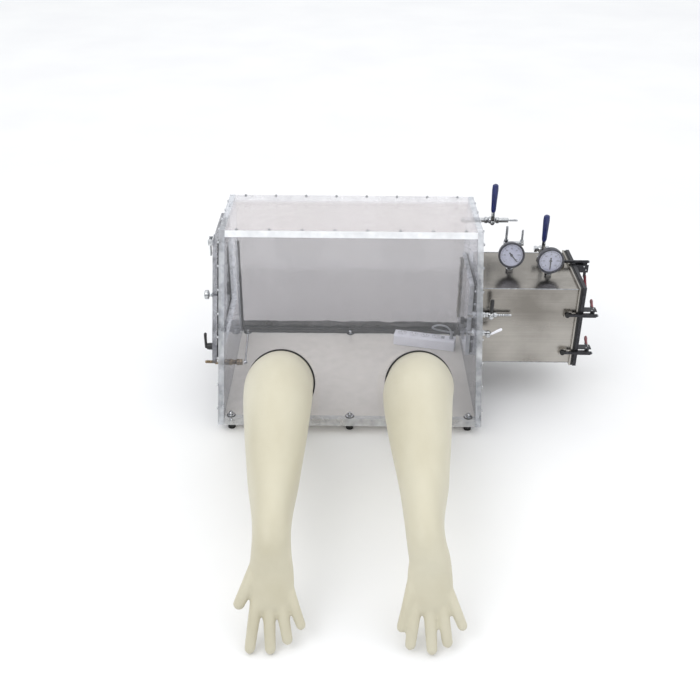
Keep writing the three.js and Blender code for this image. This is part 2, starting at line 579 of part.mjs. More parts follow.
function addValves() {
  const mainBody = join(
    bulkhead(1, MAIN_VALVE, MAIN_VALVE.body[0] + 5),
    rodX(14, ...MAIN_VALVE.body, MAIN_VALVE.y, MAIN_VALVE.z),
    rodX(9, ...MAIN_VALVE.outlet, MAIN_VALVE.y, MAIN_VALVE.z),
    rodX(3.5, ...MAIN_VALVE.nozzle, MAIN_VALVE.y, MAIN_VALVE.z, 10),
    leverStem(MAIN_LEVER, MAIN_VALVE.y),
  );
  part("main_valve_body", mainBody, "blackSteel");
  const longLever = { grip: 46, reach: 156, radius: 12, width: 4 };
  part("main_valve_lever", valveLever(MAIN_LEVER, UP, longLever), "blueGrip");

  const { x, y, z } = CHAMBER_VALVE;
  const chamberBody = join(
    rodZ(14, TC.z[1] + GAP, TC.z[1] + 10, x, y, 6),
    rodZ(8, TC.z[1] + 5, z, x, y),
    rodX(13, x - 26, x + 26, y, z),
    rodX(5, x + 24, x + 50, y, z, 12),
    leverStem(CHAMBER_LEVER, y),
  );
  part("chamber_valve_body", chamberBody, "chrome");
  part("chamber_valve_lever", valveLever(CHAMBER_LEVER, UP, { ...longLever, reach: 148 }), "blueGrip");

  const purgeBody = join(
    bulkhead(1, PURGE_VALVE, PURGE_VALVE.body[0] + 5),
    rodX(10, ...PURGE_VALVE.body, PURGE_VALVE.y, PURGE_VALVE.z),
    rodX(4, ...PURGE_VALVE.barb, PURGE_VALVE.y, PURGE_VALVE.z, 10),
    leverStem(PURGE_LEVER, PURGE_VALVE.y),
  );
  part("purge_valve_body", purgeBody, "chrome");
  const shortLever = { grip: 18, reach: 72, radius: 7, width: 3 };
  part("purge_valve_lever", valveLever(PURGE_LEVER, UP, shortLever), "blackPlastic");

  const needleBody = join(
    bulkhead(1, NEEDLE_VALVE, NEEDLE_VALVE.body[0] + 5),
    rodX(10, ...NEEDLE_VALVE.body, NEEDLE_VALVE.y, NEEDLE_VALVE.z),
    leverStem(NEEDLE_LEVER, NEEDLE_VALVE.y),
  );
  part("needle_valve_body", needleBody, "chrome");
  const leverSize = { grip: 14, reach: 58, radius: 5, width: 3 };
  part("needle_valve_lever", valveLever(NEEDLE_LEVER, NEEDLE_ANGLE, leverSize), "whitePlastic");

  const drainBody = join(
    bulkhead(-1, DRAIN_VALVE, 484),
    rodX(12, ...DRAIN_VALVE.body, DRAIN_VALVE.y, DRAIN_VALVE.z, 12),
    rodX(5, ...DRAIN_VALVE.barb, DRAIN_VALVE.y, DRAIN_VALVE.z, 12),
  );
  part("drain_valve_body", drainBody, "chrome");
  const hubX = DRAIN_VALVE.body[1] + GAP;
  const pivot = v(hubX + 5, DRAIN_VALVE.y, DRAIN_VALVE.z);
  const tip = pivot.clone().add(v(0, 108, 49));
  const drainHub = rodX(8, hubX, hubX + 10, DRAIN_VALVE.y, DRAIN_VALVE.z, 12);
  part("drain_valve_lever", join(drainHub, rod(4, pivot, tip, 10, 7), ball(7, tip)), "chrome");
}

// ---- vacuum gauges and the small manifold on the transfer chamber's roof ----
const GAUGE_RADIUS = 46;
const GAUGE_HALF_DEPTH = 15;
const GAUGE_SIDES = 32;
const DIAL_RADIUS = 41;
const DIAL_DEPTH = 7;
const NEEDLE_LENGTH = 33;
const NEEDLE_TAIL = 11;
const GAUGES = {
  left: { x: 559, y: 362, z: 510, lean: 10, needle: -50 },
  right: { x: 690, y: 328, z: 506, lean: 2, needle: -90 },
};

function addGauges() {
  Object.entries(GAUGES).forEach(([name, { x, y, z, lean, needle }]) => {
    const tilt = new THREE.Matrix4().makeRotationX(-THREE.MathUtils.degToRad(lean)).setPosition(x, y, z);
    const axial = (radius, y0, y1, sides) => rod(radius, v(0, y0, 0), v(0, y1, 0), sides);
    const drum = axial(GAUGE_RADIUS, -GAUGE_HALF_DEPTH, GAUGE_HALF_DEPTH, GAUGE_SIDES);
    const dialY = -GAUGE_HALF_DEPTH + DIAL_DEPTH;
    const recess = axial(DIAL_RADIUS, -GAUGE_HALF_DEPTH - 1, dialY, GAUGE_SIDES);
    const stem = rodZ(7, TC.z[1] + 5, z - GAUGE_RADIUS + 8, x, y + 8, 12);
    const hex = rodZ(13, TC.z[1] + GAP, TC.z[1] + 12, x, y + 8, 6);
    part(`gauge_case_${name}`, join(placed(cut(drum, recess), tilt), stem, hex), "bezel");

    const angle = THREE.MathUtils.degToRad(needle);
    const dir = v(Math.cos(angle), 0, Math.sin(angle));
    const across = -GAUGE_HALF_DEPTH + 3.5;
    const hub = axial(4.5, -GAUGE_HALF_DEPTH + 2, dialY - 0.5, 12);
    const tail = dir.clone().multiplyScalar(-NEEDLE_TAIL).setY(across);
    const point = dir.clone().multiplyScalar(NEEDLE_LENGTH).setY(across);
    part(`gauge_needle_${name}`, placed(join(hub, rod(1.8, tail, point, 6, 0.8)), tilt), "needle");
  });
}

const MANIFOLD = { x: 577, y: 430, z: 522 };
const BARB_SPREAD = 28; // hose barbs either side of the manifold's middle
function addManifold() {
  const { x, y, z } = MANIFOLD;
  const made = join(
    rodZ(14, TC.z[1] + GAP, TC.z[1] + 10, x, y, 6),
    rodZ(8, TC.z[1] + 5, z, x, y),
    rodX(9, x - 36, x + 34, y, z),
    rodZ(4.5, z, z + 66, x - BARB_SPREAD, y, 10),
    rodZ(4, z, z + 52, x + BARB_SPREAD, y, 10),
    rod(7, v(x + 16, y, z), v(x + 16, y - 24, z + 8), 10),
  );
  part("gauge_manifold", made, "chrome");
}

// ---- power strip on the chamber's floor, its cord and the gland in the right wall ----
const STRIP = { x: 288, y: 524, turn: -13, length: 236, width: 50, height: 45 };
const CORD_RADIUS = 3.5;
const CORD_SIDES = 8;
const CORD_STEPS = 30;
const STRIP_TOP = FLOOR_TOP + GAP + STRIP.height;
const GLAND_MOUTH = INSIDE - 26;
const CORD_ROUTE = [
  [388, 501, STRIP_TOP + GAP],
  [388, 501, 106],
  [385, 501, 122],
  [375, 501, 137],
  [367, 502, 142.5],
  [358, 503, 146],
  [348, 505, 147],
  [339, 508, 146],
  [324, 517, 137],
  [317, 529, 124],
  [322, 541, 112],
  [337, 549, 103],
  [356, 554, 96],
  [376, 556, 91],
  [392, 556, 88.5],
  [GLAND_MOUTH - GAP, 556, 88],
];

function addPowerSupply() {
  const { length, width, height } = STRIP;
  const chamfer = 6;
  const section = [
    [-width / 2, 0],
    [width / 2, 0],
    [width / 2, height - chamfer],
    [width / 2 - chamfer, height],
    [-width / 2 + chamfer, height],
    [-width / 2, height - chamfer],
  ];
  const place = new THREE.Matrix4()
    .makeRotationZ(THREE.MathUtils.degToRad(STRIP.turn))
    .setPosition(STRIP.x, STRIP.y, FLOOR_TOP + GAP);
  part("power_strip", placed(prismX(section, -length / 2, length / 2), place), "whitePlastic");

  const corners = Array.from({ length: CORD_SIDES }, (_, i) => {
    const turn = (i / CORD_SIDES) * 2 * Math.PI;
    return new THREE.Vector2(CORD_RADIUS * Math.cos(turn), CORD_RADIUS * Math.sin(turn));
  });
  const cordSection = new THREE.Shape(corners);
  const route = new THREE.CatmullRomCurve3(CORD_ROUTE.map((point) => v(...point)));
  const tube = new THREE.ExtrudeGeometry(cordSection, { steps: CORD_STEPS, extrudePath: route });
  part("power_cord", solid(tube), "cable");

  const { y, z } = GLAND;
  const gland = join(
    rodX(BULKHEAD_RADIUS, GLAND_MOUTH, HALF + 24, y, z),
    rodX(14, INSIDE - 12, INSIDE - GAP, y, z, 6),
    rodX(16, HALF + GAP, HALF + 26, y, z, 12),
  );
  part("cable_gland", gland, "blackPlastic");
}

addPanels();
addFeet();
addGloves();
addTransferChamber();
addOuterDoor();
addInnerDoor();
addLeftDoor();
addValves();
addGauges();
addManifold();
addPowerSupply();

const bounds = new THREE.Box3().setFromObject(glovebox, true);
const centre = bounds.getCenter(v(0, 0, 0));
glovebox.position.set(-centre.x, -centre.y, -bounds.min.z);

export default glovebox;
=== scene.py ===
"""The looks of a laboratory glove box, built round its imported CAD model. Blender 4.5.

Shapes are laid out as in the CAD: millimetres, X = 0 at the chamber's middle, Y = 0 at its bottom
front edge, Z = 0 under its feet. Shape.piece() turns them into metres in the row frame.
"""

import json
import math

import bmesh
import bpy
import numpy as np
from mathutils import Matrix, Vector, noise


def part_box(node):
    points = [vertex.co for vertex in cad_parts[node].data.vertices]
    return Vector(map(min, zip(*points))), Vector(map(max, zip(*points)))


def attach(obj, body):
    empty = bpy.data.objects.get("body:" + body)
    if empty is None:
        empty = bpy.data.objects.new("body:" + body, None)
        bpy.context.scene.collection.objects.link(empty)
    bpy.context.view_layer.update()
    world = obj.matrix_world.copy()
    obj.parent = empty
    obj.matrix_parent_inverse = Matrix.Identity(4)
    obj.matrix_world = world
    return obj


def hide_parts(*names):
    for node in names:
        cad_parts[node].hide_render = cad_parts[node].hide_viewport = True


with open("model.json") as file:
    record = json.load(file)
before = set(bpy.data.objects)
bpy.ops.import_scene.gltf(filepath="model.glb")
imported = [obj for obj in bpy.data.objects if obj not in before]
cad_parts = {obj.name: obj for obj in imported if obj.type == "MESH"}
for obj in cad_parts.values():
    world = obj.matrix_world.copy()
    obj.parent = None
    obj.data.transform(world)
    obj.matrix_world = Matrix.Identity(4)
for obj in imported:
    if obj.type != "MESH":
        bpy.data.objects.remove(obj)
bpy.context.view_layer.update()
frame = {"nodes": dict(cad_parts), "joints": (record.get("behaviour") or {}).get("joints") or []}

MM = 0.001
NODES = frame["nodes"]
JOINTS = {joint["name"]: joint for joint in frame["joints"]}
FLOOR_LOW, FLOOR_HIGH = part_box("floor_panel")
ORIGIN = Vector(((FLOOR_LOW.x + FLOOR_HIGH.x) / 2, FLOOR_LOW.y, 0))
X, Y, Z = Vector((1, 0, 0)), Vector((0, 1, 0)), Vector((0, 0, 1))


def layout(point):
    """A point of the row frame, in the chamber's layout."""
    return (Vector(point) - ORIGIN) / MM


def span(node):
    """A CAD node's lowest and highest corner in the chamber's layout."""
    low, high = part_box(node)
    return layout(low), layout(high)


def pivot(joint):
    return layout(JOINTS[joint]["pos_m"])


def axes(origin, x, z):
    """The matrix of a frame at origin with those x and z directions."""
    z = z.normalized()
    x = (x - z * x.dot(z)).normalized()
    turn = Matrix((x, z.cross(x), z)).transposed().to_4x4()
    return Matrix.Translation(origin) @ turn


def add_object(name, data):
    """Puts a new object that holds that data into the scene."""
    made = bpy.data.objects.new(name, data)
    bpy.context.scene.collection.objects.link(made)
    return made


# ---- the chamber's main sizes, read from the frame ----
FLOOR = span("floor_panel")
ROOF = span("roof_panel")
LEFT_WALL = span("left_wall")
RIGHT_WALL = span("right_wall")
BACK = span("back_panel")
FLOOR_TOP = FLOOR[1].z
LEAN = (ROOF[0].y - FLOOR[0].y) / (ROOF[0].z - FLOOR[0].z)
PORT_AXIS = Vector((0, -1, LEAN)).normalized()
PANEL = FLOOR[1].z - FLOOR[0].z


def front_at(z):
    """Where the leaning front's outer face is at a height."""
    return (z - FLOOR[0].z) * LEAN


# ---- camera ----
CAMERA_PLACE = Vector((-0.9, -2643.25, 1871.43))
CAMERA_PITCH = 30.266
CAMERA_ROLL = 0.526
CAMERA_LENS = 48.3


def add_camera():
    data = bpy.data.cameras.new("camera")
    data.lens = CAMERA_LENS
    data.sensor_width = 36
    data.clip_start, data.clip_end = 0.05, 100
    camera = add_object("camera", data)
    tilt = Matrix.Rotation(math.radians(90 - CAMERA_PITCH), 4, "X")
    roll = Matrix.Rotation(math.radians(CAMERA_ROLL), 4, "Z")
    camera.matrix_world = Matrix.Translation(ORIGIN + CAMERA_PLACE * MM) @ tilt @ roll
    bpy.context.scene.camera = camera


# ---- materials ----
class Nodes:
    """Short forms for one material's node tree."""

    def __init__(self, name):
        self.material = bpy.data.materials.new(name)
        self.material.use_nodes = True
        self.tree = self.material.node_tree
        self.shader = self.tree.nodes["Principled BSDF"]
        self.output = self.tree.nodes["Material Output"]
        self.place = self.add("ShaderNodeTexCoord").outputs["Object"]

    def add(self, kind, **inputs):
        node = self.tree.nodes.new(kind)
        for socket, value in inputs.items():
            self.put(node.inputs[socket.replace("_", " ")], value)
        return node

    def put(self, socket, value):
        if isinstance(value, bpy.types.NodeSocket):
            self.tree.links.new(value, socket)
        else:
            socket.default_value = value

    def set(self, **inputs):
        """Sets the main shader's own sockets."""
        for socket, value in inputs.items():
            self.put(self.shader.inputs[socket.replace("_", " ")], value)

    def show(self, shader):
        """Makes that shader the surface, and gives the finished material."""
        self.put(self.output.inputs["Surface"], shader)
        return self.material

    def height(self):
        return self.add("ShaderNodeSeparateXYZ", Vector=self.place).outputs["Z"]

    def noise(self, scale, detail=4, stretch=(1, 1, 1)):
        mapped = self.add("ShaderNodeMapping", Vector=self.place, Scale=stretch)
        made = self.add("ShaderNodeTexNoise", Vector=mapped.outputs[0], Scale=scale, Detail=detail)
        return made.outputs["Fac"]

    def between(self, factor, low, high, start=0.3, end=0.7):
        """A number that runs from low to high as factor runs from start to end."""
        ends = {"From_Min": start, "From_Max": end, "To_Min": low, "To_Max": high}
        return self.add("ShaderNodeMapRange", Value=factor, **ends).outputs[0]

    def colours(self, factor, dark, light, start=0.3, end=0.7):
        ramp = self.add("ShaderNodeValToRGB", Fac=factor)
        for element, position, colour in zip(ramp.color_ramp.elements, (start, end), (dark, light)):
            element.position = position
            element.color = (*colour, 1)
        return ramp.outputs["Color"]

    def math(self, operation, a, b=0.0, c=0.0):
        node = self.tree.nodes.new("ShaderNodeMath")
        node.operation = operation
        for socket, value in zip(node.inputs, (a, b, c)):
            self.put(socket, value)
        return node.outputs[0]

    def bump(self, height, distance, strength=0.5):
        made = self.add("ShaderNodeBump", Height=height, Distance=distance, Strength=strength)
        return made.outputs["Normal"]

    def see_through(self, tint):
        return self.add("ShaderNodeBsdfTransparent", Color=(*tint, 1))

    def mix(self, factor, first, second):
        node = self.tree.nodes.new("ShaderNodeMixShader")
        for socket, value in zip(node.inputs, (factor, first, second)):
            self.put(socket, value)
        return node.outputs[0]


def surface(name, dark, light, rough, scale=60, bump=0.0002, grain=400, **fixed):
    """A solid finish: patches of two shades, uneven roughness and a fine grain."""
    made = Nodes(name)
    patches = made.noise(scale)
    made.set(
        Base_Color=made.colours(patches, dark, light),
        Roughness=made.between(patches, *rough),
        Normal=made.bump(made.noise(grain), bump),
        **fixed,
    )
    return made.material


def mirrored_share(made, least, most):
    """How much a clear surface mirrors: little seen head on, most of it seen along the surface."""
    facing = made.add("ShaderNodeLayerWeight", Blend=0.5).outputs["Facing"]
    return made.math("MULTIPLY_ADD", made.math("POWER", facing, 5.0), most - least, least)


def clear(name, tint, haze, haze_colour=(0.86, 0.87, 0.9), uneven=0.4, low_tint=None, heights=()):
    """Clear sheet: tinted see-through, a faint uneven haze of fine scratches, and a polished gloss.

    low_tint is the tint below the first height, in metres, and tint is that above the second."""
    made = Nodes(name)
    window = made.see_through(tint)
    if low_tint:
        # Below the first height the see-through tint turns darker, on an uneven line: darker towards the
        # bottom.
        uneven_height = made.math("MULTIPLY_ADD", made.noise(9, stretch=(1, 2, 0.6)), 0.16, made.height())
        made.put(window.inputs["Color"], made.colours(uneven_height, low_tint, tint, *heights))
    scratches = made.noise(35, detail=8, stretch=(1, 1, 0.25))
    film = made.add("ShaderNodeBsdfDiffuse", Color=(*haze_colour, 1))
    gloss = made.add("ShaderNodeBsdfGlossy", Color=(1, 1, 1, 1))
    made.put(gloss.inputs["Roughness"], made.between(scratches, 0.02, 0.09))
    share = made.between(scratches, haze * (1 - uneven), haze * (1 + uneven))
    hazed = made.mix(share, window.outputs[0], film.outputs[0])
    made.tree.nodes.remove(made.shader)
    return made.show(made.mix(mirrored_share(made, 0.045, 0.9), hazed, gloss.outputs[0]))


def polished_edge(name, dark, light, solid):
    """The sawn and polished edges of the sheets, where light gathers; that light is painted into their
    colour, and solid is how much they hide.
    """
    made = Nodes(name)
    patches = made.noise(40, detail=6)
    made.set(Base_Color=made.colours(patches, dark, light), Roughness=made.between(patches, 0.05, 0.2))
    window = made.see_through((0.9, 0.91, 0.93))
    share = made.between(made.noise(16, detail=5), *solid)
    return made.show(made.mix(share, window.outputs[0], made.shader.outputs[0]))


def sealant_and_painted_reflection_material():
    """A dark film on the back sheet, partly sealant wiped thin and partly a painted dark reflection of its
    joint with the floor: dark where it is thick, see-through where it thins out.
    """
    made = Nodes("sealant_and_painted_reflection_film")
    made.set(
        Base_Color=made.colours(made.noise(60), (0.02, 0.02, 0.022), (0.09, 0.085, 0.08)),
        Roughness=made.between(made.noise(90), 0.35, 0.6),
    )
    window = made.see_through((0.8, 0.8, 0.8))
    share = made.between(made.noise(14, detail=6, stretch=(0.5, 1, 1.5)), 0.12, 0.9)
    return made.show(made.mix(share, window.outputs[0], made.shader.outputs[0]))


def latex_material():
    """Dipped latex: faint runs along the sleeve, fine grain and a soft dull gloss."""
    made = Nodes("latex")
    runs = made.noise(7, detail=5, stretch=(1, 0.35, 1))
    grain = made.noise(900, detail=3)
    folds = made.noise(26, detail=3, stretch=(1, 1.6, 1))
    made.set(
        Base_Color=made.colours(runs, (0.555, 0.515, 0.385), (0.64, 0.605, 0.475)),
        Roughness=made.between(runs, 0.42, 0.56),
        Normal=made.bump(made.math("MULTIPLY_ADD", folds, 6.0, grain), 0.0003, 0.45),
        Sheen_Weight=0.12,
        Sheen_Roughness=0.5,
    )
    return made.material


def brushed_steel():
    """Stainless sheet brushed along X, uneven in lustre, with a painted dark reflection that darkens it
    above its middle.
    """
    made = Nodes("brushed_steel")
    lines = made.noise(260, detail=5, stretch=(0.02, 1, 1))
    broad = made.noise(6, detail=4)
    wavy = made.math("MULTIPLY_ADD", broad, 0.12, made.height())
    # Painted dark reflection: the colour darkens above about 0.33 m, standing in for the dark reflection on
    # the chamber's upper front.
    painted_dark_reflection = made.between(wavy, 0.0, -0.26, 0.33, 0.42)
    shade = made.math("MULTIPLY_ADD", broad, 0.75, made.math("MULTIPLY_ADD", lines, 0.14, painted_dark_reflection))
    made.set(
        Base_Color=made.colours(shade, (0.22, 0.205, 0.185), (0.50, 0.475, 0.44), 0.15, 0.6),
        Roughness=made.between(shade, 0.26, 0.42),
        Normal=made.bump(lines, 0.00008, 0.25),
        Metallic=1.0,
        Anisotropic=0.4,
    )
    return made.material


def metal(name, dark, light, rough):
    return surface(name, dark, light, rough, 120, bump=0.00003, Metallic=1.0)


def vinyl(name, dark, light):
    return surface(name, dark, light, (0.3, 0.45), 80, grain=600, Coat_Weight=0.3)


def clear_materials():
    wall = {"low_tint": (0.2, 0.205, 0.22), "heights": (0.08, 0.38)}
    return {
        "sheet": clear("acrylic_sheet", (0.95, 0.95, 0.96), 0.035, uneven=0.25),
        "roof": clear("acrylic_roof", (0.965, 0.955, 0.96), 0.14, (0.99, 0.93, 0.93)),
        "floor": clear("acrylic_floor", (0.95, 0.94, 0.92), 0.62, (0.99, 0.955, 0.9), uneven=0.06),
        "back": clear("acrylic_back", (0.74, 0.725, 0.725), 0.12, (0.44, 0.42, 0.42), uneven=0.12),
        "wall": clear("acrylic_wall", (0.86, 0.86, 0.885), 0.08, (0.6, 0.6, 0.64), **wall),
        "edge": polished_edge("acrylic_edge", (0.5, 0.52, 0.55), (0.85, 0.87, 0.9), (0.22, 0.6)),
        "smoky_edge": polished_edge("smoky_edge", (0.04, 0.04, 0.05), (0.3, 0.3, 0.33), (0.45, 0.85)),
        # Near-white edge: a painted highlight, used on the front panel's top edge and the roof's front edge.
        "painted_highlight_edge": polished_edge("painted_highlight_edge", (0.85, 0.87, 0.9), (0.97, 0.98, 1), (0.7, 0.95)),
        # Partly sealant, partly a painted dark reflection at the back joint.
        "sealant_and_painted_reflection": sealant_and_painted_reflection_material(),
        "glass": clear("gauge_glass", (0.97, 0.975, 0.98), 0.01),
    }


def metal_materials():
    dark = {"scale": 90, "Metallic": 0.7}
    return {
        "steel": brushed_steel(),
        "brass": metal("brass", (0.16, 0.115, 0.07), (0.33, 0.255, 0.165), (0.22, 0.42)),
        # Chrome runs darker than bare chrome: a painted dark reflection of dark surroundings, on top of its
        # uneven tone.
        "chrome": metal("chrome", (0.34, 0.35, 0.37), (0.66, 0.67, 0.68), (0.07, 0.22)),
        # Dark steel: the clamps' own colour, and painted shade on the outer door's rim, ears and pressing
        # sides.
        "dark_steel": surface("dark_steel", (0.022, 0.022, 0.026), (0.06, 0.06, 0.066), (0.3, 0.5), **dark),
    }


def soft_and_plastic_materials():
    band = {"scale": 45, "grain": 900}
    sealant = {"scale": 30, "bump": 0.001, "grain": 70}
    port = {"scale": 40, "Transmission_Weight": 0.35}
    return {
        "latex": latex_material(),
        "rubber": surface("rubber", (0.008, 0.008, 0.009), (0.022, 0.022, 0.022), (0.55, 0.8), **band),
        "sealant": surface("sealant", (0.012, 0.012, 0.014), (0.055, 0.052, 0.05), (0.35, 0.65), **sealant),
        "port": surface("port_plastic", (0.55, 0.58, 0.59), (0.72, 0.75, 0.76), (0.12, 0.3), **port),
        "bezel": surface("bezel", (0.035, 0.036, 0.045), (0.075, 0.075, 0.09), (0.28, 0.45), 110),
        "dial": surface("dial", (0.50, 0.50, 0.62), (0.60, 0.60, 0.72), (0.4, 0.5), 70, 0.00002),
        "ink": surface("ink", (0.008, 0.008, 0.012), (0.02, 0.02, 0.026), (0.4, 0.55), 200, 0.00002),
        "blue": vinyl("blue_vinyl", (0.008, 0.014, 0.085), (0.016, 0.028, 0.16)),
        "red": vinyl("red_vinyl", (0.12, 0.01, 0.018), (0.23, 0.02, 0.035)),
        "black": surface("black_plastic", (0.012, 0.012, 0.013), (0.035, 0.035, 0.037), (0.35, 0.55), 90),
        "white": surface("white_plastic", (0.86, 0.86, 0.93), (0.92, 0.92, 0.98), (0.3, 0.42), grain=800),
        "cable": surface("cable_sheath", (0.33, 0.34, 0.37), (0.45, 0.46, 0.5), (0.4, 0.55), 150, grain=900),
    }


MATERIALS = {**clear_materials(), **metal_materials(), **soft_and_plastic_materials()}


# ---- shapes ----
def circle(sides):
    return [(math.cos(t), math.sin(t)) for t in np.linspace(0, 2 * math.pi, sides, endpoint=False)]


def smooth_stations(stations, count):
    """Rows of numbers, the first three a point, joined by one smooth curve and taken evenly along it."""
    rows = np.array(stations, float)
    steps = np.linalg.norm(np.diff(rows[:, :3], axis=0), axis=1)
    along = np.concatenate([[0], np.cumsum(steps)])
    slopes = np.gradient(rows, along, axis=0)
    wanted = np.linspace(0, along[-1], count)
    index = np.clip(np.searchsorted(along, wanted, side="right") - 1, 0, len(rows) - 2)
    length = (along[index + 1] - along[index])[:, None]
    t = (wanted - along[index])[:, None] / length
    start, end = rows[index], rows[index + 1]
    leave, arrive = slopes[index] * length, slopes[index + 1] * length
    return (
        start * (2 * t**3 - 3 * t**2 + 1)
        + leave * (t**3 - 2 * t**2 + t)
        + end * (3 * t**2 - 2 * t**3)
        + arrive * (t**3 - t**2)
    )


def domed(stations, steps=4):
    """Stations [x, y, z, across, over] with a rounded end added at each end."""
    rows = [np.array(row, float) for row in stations]

    def dome(end, inner):
        out = (end[:3] - inner[:3]) / np.linalg.norm(end[:3] - inner[:3])
        made = []
        for k in range(1, steps + 1):
            angle = k / steps * math.pi / 2
            point = end[:3] + out * end[4] * math.sin(angle)
            made.append(np.concatenate([point, end[3:] * math.cos(angle)]))
        return made

    return dome(rows[0], rows[1])[::-1] + rows + dome(rows[-1], rows[-2])


class Shape:
    """Closed solids gathered into one mesh. Their lengths are millimetres in the chamber's layout."""

    def __init__(self, *materials):
        self.mesh = bmesh.new()
        self.materials = materials

    def skin(self, rings, material, matrix=None):
        """Joins rings of points, each as long as the others, or of one point where the solid ends."""
        slot = self.materials.index(material)
        matrix = matrix or Matrix.Identity(4)
        made = [[self.mesh.verts.new(matrix @ Vector(point)) for point in ring] for ring in rings]
        faces = []
        for low, high in zip(made, made[1:]):
            sides = max(len(low), len(high))
            for i in range(sides):
                j = (i + 1) % sides
                if len(low) == 1:
                    corners = [low[0], high[j], high[i]]
                elif len(high) == 1:
                    corners = [low[i], low[j], high[0]]
                else:
                    corners = [low[i], low[j], high[j], high[i]]
                faces.append(self.mesh.faces.new(corners))
        for ring, backward in ((made[0], True), (made[-1], False)):
            if len(ring) > 2:
                faces.append(self.mesh.faces.new(ring[::-1] if backward else ring))
        for face in faces:
            face.material_index = slot
        return faces

    def turned(self, matrix, profile, material, sides=24, flutes=0, depth=0.0):
        """A solid turned about the matrix's z from [radius, height] points, with flutes cut if wanted."""
        waves = [0.5 + 0.5 * math.cos(2 * math.pi * flutes * k / sides) for k in range(sides)]
        around = [(depth * wave, c, s) for wave, (c, s) in zip(waves, circle(sides))]
        rings = []
        for radius, height in profile:
            if radius == 0:
                rings.append([(0, 0, height)])
            else:
                rings.append([((radius - cut) * c, (radius - cut) * s, height) for cut, c, s in around])
        self.skin(rings, material, matrix)

    def ring(self, matrix, section, material, sides=64):
        """A ring turned about the matrix's z from a closed outline of [radius, height] points."""
        slot = self.materials.index(material)
        loops = []
        for c, s in circle(sides):
            loops.append([self.mesh.verts.new(matrix @ Vector((r * c, r * s, h))) for r, h in section])
        count = len(section)
        for k in range(sides):
            here, there = loops[k], loops[(k + 1) % sides]
            for i in range(count):
                j = (i + 1) % count
                face = self.mesh.faces.new([here[i], there[i], there[j], here[j]])
                face.material_index = slot

    def loft(self, stations, material, across=X, sides=16):
        """A tube through [x, y, z, across, over] stations; a station of no width is a point."""
        rows = [np.array(row, float) for row in stations]
        points = np.array([row[:3] for row in rows])
        tangents = np.gradient(points, axis=0)
        rings = []
        for row, tangent in zip(rows, tangents):
            forward = Vector(tangent).normalized()
            side = (across - forward * across.dot(forward)).normalized()
            over = forward.cross(side)
            centre = Vector(row[:3])
            if row[3] < 1e-6:
                rings.append([centre])
                continue
            rings.append([centre + side * (row[3] * c) + over * (row[4] * s) for c, s in circle(sides)])
        self.skin(rings, material)

    def prism(self, matrix, outline, height, material, bevel=0.0):
        """A plate with that outline in the matrix's xy plane, from z = 0 up to height."""
        start = [(x, y, 0) for x, y in outline]
        end = [(x, y, height) for x, y in outline]
        faces = self.skin([start, end], material, matrix)
        self.soften(faces, bevel)

    def block(self, matrix, size, material, bevel=0.0):
        """A box of that size about the matrix's origin."""
        x, y, z = (value / 2 for value in size)
        outline = [(-x, -y), (x, -y), (x, y), (-x, y)]
        self.prism(matrix @ Matrix.Translation((0, 0, -z)), outline, 2 * z, material, bevel)

    def hexagon(self, matrix, radius, height, material):
        """A nut or a hexagon's length with chamfered corners, along the matrix's z."""
        outline = [(radius * c, radius * s) for c, s in circle(6)]
        self.prism(matrix, outline, height, material, min(1.0, height / 5))

    def soften(self, faces, bevel):
        if bevel:
            edges = list({edge for face in faces for edge in face.edges})
            bmesh.ops.bevel(
                self.mesh,
                geom=edges,
                offset=bevel,
                segments=2,
                profile=0.5,
                affect="EDGES",
                clamp_overlap=True,
                material=-1,
            )

    def add_mesh(self, mesh, matrix, material):
        """Copies a mesh's faces in, placed by the matrix."""
        slot = self.materials.index(material)
        points = [self.mesh.verts.new(matrix @ vertex.co) for vertex in mesh.vertices]
        for polygon in mesh.polygons:
            self.mesh.faces.new([points[i] for i in polygon.vertices]).material_index = slot

    def piece(self, name, body, slot, *replaced, sharp=35, outward=True):
        """Turns the shape into an object that rides on a body and stands for CAD nodes."""
        if outward:
            bmesh.ops.recalc_face_normals(self.mesh, faces=self.mesh.faces)
        for vertex in self.mesh.verts:
            vertex.co = ORIGIN + vertex.co * MM
        data = bpy.data.meshes.new(name)
        self.mesh.to_mesh(data)
        self.mesh.free()
        data.shade_smooth()
        data.set_sharp_from_angle(angle=math.radians(sharp))
        for material in self.materials:
            data.materials.append(MATERIALS[material])
        return belong(add_object(name, data), body, slot, *replaced)


def belong(made, body, slot, *replaced):
    """Makes an object ride on a body and hides the CAD nodes it stands for; its slot is not used."""
    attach(made, body)
    if replaced:
        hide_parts(*replaced)
    return made


# ---- the power cord ----
RELIEF_LENGTH = 27
STRIP = {"turn": -13, "length": 236, "width": 50, "height": 45}
CORD_DIAMETER = 7
CORD_ROUTE = [
    (388, 501, 93.6),
    (388, 501, 106),
    (385, 501, 122),
    (375, 501, 137),
    (367, 502, 142.5),
    (358, 503, 146),
    (348, 505, 147),
    (339, 508, 146),
    (324, 517, 137),
    (317, 529, 124),
    (322, 541, 112),
    (337, 549, 103),
    (356, 554, 96),
    (376, 556, 91),
    (392, 556, 88.5),
    (403.7, 556, 88),
]


def add_cord():
    data = bpy.data.curves.new("cord", "CURVE")
    data.dimensions = "3D"
    data.bevel_depth = CORD_DIAMETER / 2 * MM
    data.bevel_resolution = 4
    data.use_fill_caps = True
    spline = data.splines.new("BEZIER")
    spline.bezier_points.add(len(CORD_ROUTE) - 1)
    for knot, point in zip(spline.bezier_points, CORD_ROUTE):
        knot.co = ORIGIN + Vector(point) * MM
        knot.handle_left_type = knot.handle_right_type = "AUTO"
    spline.resolution_u = 8
    data.materials.append(MATERIALS["cable"])
    cord = add_object("strip_cord", data)
    belong(cord, "chamber", "cable", "power_cord")


